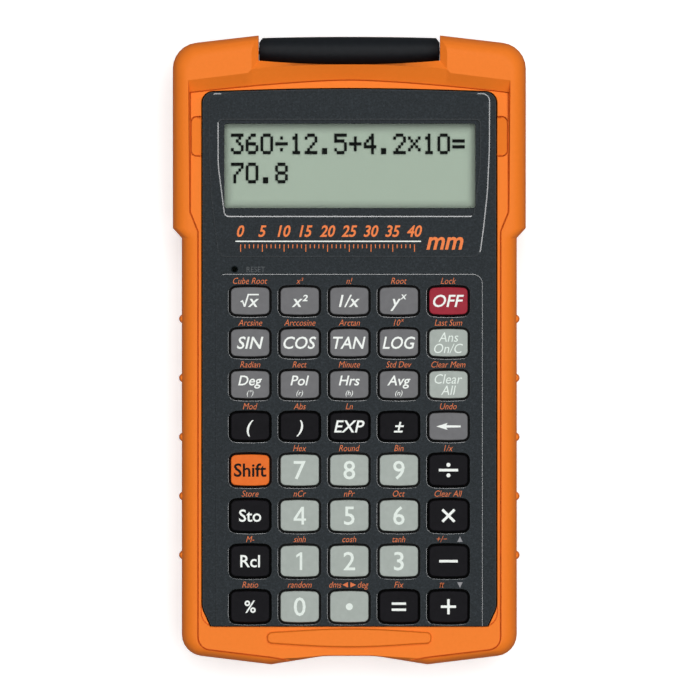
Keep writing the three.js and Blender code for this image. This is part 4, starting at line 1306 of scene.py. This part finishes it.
glassLow, glassHigh = nodeBox('display_glass')
# The foil's colour takes painted shade along the window's rim
dullRim(displayFoil)
glassLayer('displayFoil', glassLow.z, display['foilTop'], display['foilEdge'], displayFoil, ['display_glass'])
glassLayer('displayPane', display['foilTop'] + display['paneGap'], glassHigh.z, display['paneEdge'],
           clearAcrylic)
dots = displayLines()
dots.name = 'displayCharacters'
finishPiece(dots, 'case', crystalDots)
print('display made')

# Every CAD node that is still shown takes the look of its slot
slotLooks = {'orange_case': orangeAbs, 'hinge_black': blackAcetal, 'dark_housing': charcoalAbs,
             'display_window': clearAcrylic, 'display_glass': displayFoil, 'connector_rubber': layeredSilicone,
             'silicone_sheet': milkySilicone, 'board_laminate': maskedLaminate, 'steel': zincSteel,
             'cell_steel': nickelSteel}
for name, node in frame['nodes'].items():
    if slotOfNode[name] in slotLooks:
        node.data.materials.clear()
        node.data.materials.append(slotLooks[slotOfNode[name]])
print('inner pieces coated')

# Camera straight above, at the photograph's scale
view = {'pixel': 0.23 * mm, 'pixels': 700, 'across': 0.16 * mm, 'faceHeight': 20 * mm, 'lens': 700,
        'sensor': 36}
distance = view['pixel'] * view['pixels'] * view['lens'] / view['sensor']
bpy.ops.object.camera_add(location=(view['across'], 0, view['faceHeight'] + distance))
camera = bpy.context.object
camera.data.lens = view['lens']
camera.data.sensor_width = view['sensor']
camera.data.clip_end = 10
bpy.context.scene.camera = camera
bpy.context.scene.view_settings.view_transform = 'Standard'

# Soft light: a dome that is brightest 10 to 30 degrees off the camera's axis, with a dim cap where flat faces
# would mirror it, a pale tent low down that only mirrors see, and three strips that stand where the leaning
# facets of islands and holes mirror them. A share is the part of a white card's brightness a strip gives.
studio = {'floorSize': 6, 'paperLift': 0.42, 'dome': 1.434, 'tent': 0.5, 'tentTop': 0.72}
domeSteps = [(0.45, 0.02), (0.65, 0.12), (0.84, 0.15), (0.87, 0.25), (0.93, 3), (0.962, 3.3), (0.982, 0.08)]
stripLights = {
    'rightStrip': {'place': (1.24, -0.02, 2), 'width': 1, 'length': 0.17, 'share': 0.08},
    'topStrip': {'place': (0, 1.24, 2), 'width': 1, 'length': 0.17, 'share': 0.1},
    'cornerStrip': {'place': (0.88, 0.88, 2), 'width': 0.96, 'length': 0.17, 'share': 0.08},
}


# Pale paper: near white to the camera, and grey to bounced light, which keeps the sides of the object dark
def paleFloor():
    material = newMaterial('paleStudioPaper')
    place = addNode(material, 'ShaderNodeTexCoord').outputs['Object']
    noise = addNode(material, 'ShaderNodeTexNoise', {'Vector': place, 'Scale': perMetre(60)})
    tone = colourSteps(material, noise.outputs['Fac'], [(0.3, '#F6F6F5'), (0.7, '#F9F9F8')])
    paper = addNode(material, 'ShaderNodeBsdfDiffuse', {'Color': tone})
    dimPaper = addNode(material, 'ShaderNodeBsdfDiffuse', {'Color': toLinear('#9A9A9A')})
    lift = addNode(material, 'ShaderNodeEmission', {'Color': (1, 1, 1, 1), 'Strength': studio['paperLift']})
    lifted = addNode(material, 'ShaderNodeAddShader', {0: paper.outputs[0], 1: lift.outputs[0]})
    seen = addNode(material, 'ShaderNodeLightPath').outputs['Is Camera Ray']
    mix = addNode(material, 'ShaderNodeMixShader', {
        'Fac': seen, 1: dimPaper.outputs[0], 2: lifted.outputs[0]})
    addNode(material, 'ShaderNodeOutputMaterial', {'Surface': mix.outputs[0]})
    return material


deselectAll()
bpy.ops.mesh.primitive_plane_add(size=studio['floorSize'], location=(0, 0, 0))
floor = bpy.context.object
floor.name = 'studioFloor'
floor.data.materials.append(paleFloor())


def domeLight():
    world = bpy.data.worlds.new('studioWorld')
    world.use_nodes = True
    world.node_tree.nodes.clear()
    bpy.context.scene.world = world
    way = addNode(world, 'ShaderNodeTexCoord').outputs['Generated']
    height = addNode(world, 'ShaderNodeSeparateXYZ', {'Vector': way}).outputs['Z']
    brightest = max(value for place, value in domeSteps)
    sky = colourSteps(world, height, [(place, value / brightest) for place, value in domeSteps])
    dome = addNode(world, 'ShaderNodeBackground', {'Color': sky, 'Strength': studio['dome'] * brightest})
    tent = addNode(world, 'ShaderNodeBackground', {'Color': (1, 1, 1, 1), 'Strength': studio['tent']})
    low = addNode(world, 'ShaderNodeMath', {0: height, 1: studio['tentTop']}, operation='LESS_THAN')
    mirrored = addNode(world, 'ShaderNodeLightPath').outputs['Is Glossy Ray']
    both = addNode(world, 'ShaderNodeMath', {0: low.outputs[0], 1: mirrored}, operation='MULTIPLY')
    mix = addNode(world, 'ShaderNodeMixShader', {
        'Fac': both.outputs[0], 1: dome.outputs[0], 2: tent.outputs[0]})
    addNode(world, 'ShaderNodeOutputWorld', {'Surface': mix.outputs[0]})


domeLight()
for name, row in stripLights.items():
    deselectAll()
    bpy.ops.object.light_add(type='AREA', location=row['place'])
    light = bpy.context.object
    light.name = name
    light.data.shape = 'RECTANGLE'
    light.data.size = row['width']
    light.data.size_y = row['length']
    toward = Vector(row['place'])
    light.data.energy = row['share'] * math.pi ** 2 * toward.length ** 3 / toward.z
    light.rotation_euler = (-toward).to_track_quat('-Z', 'Y').to_euler()
print('studio set')
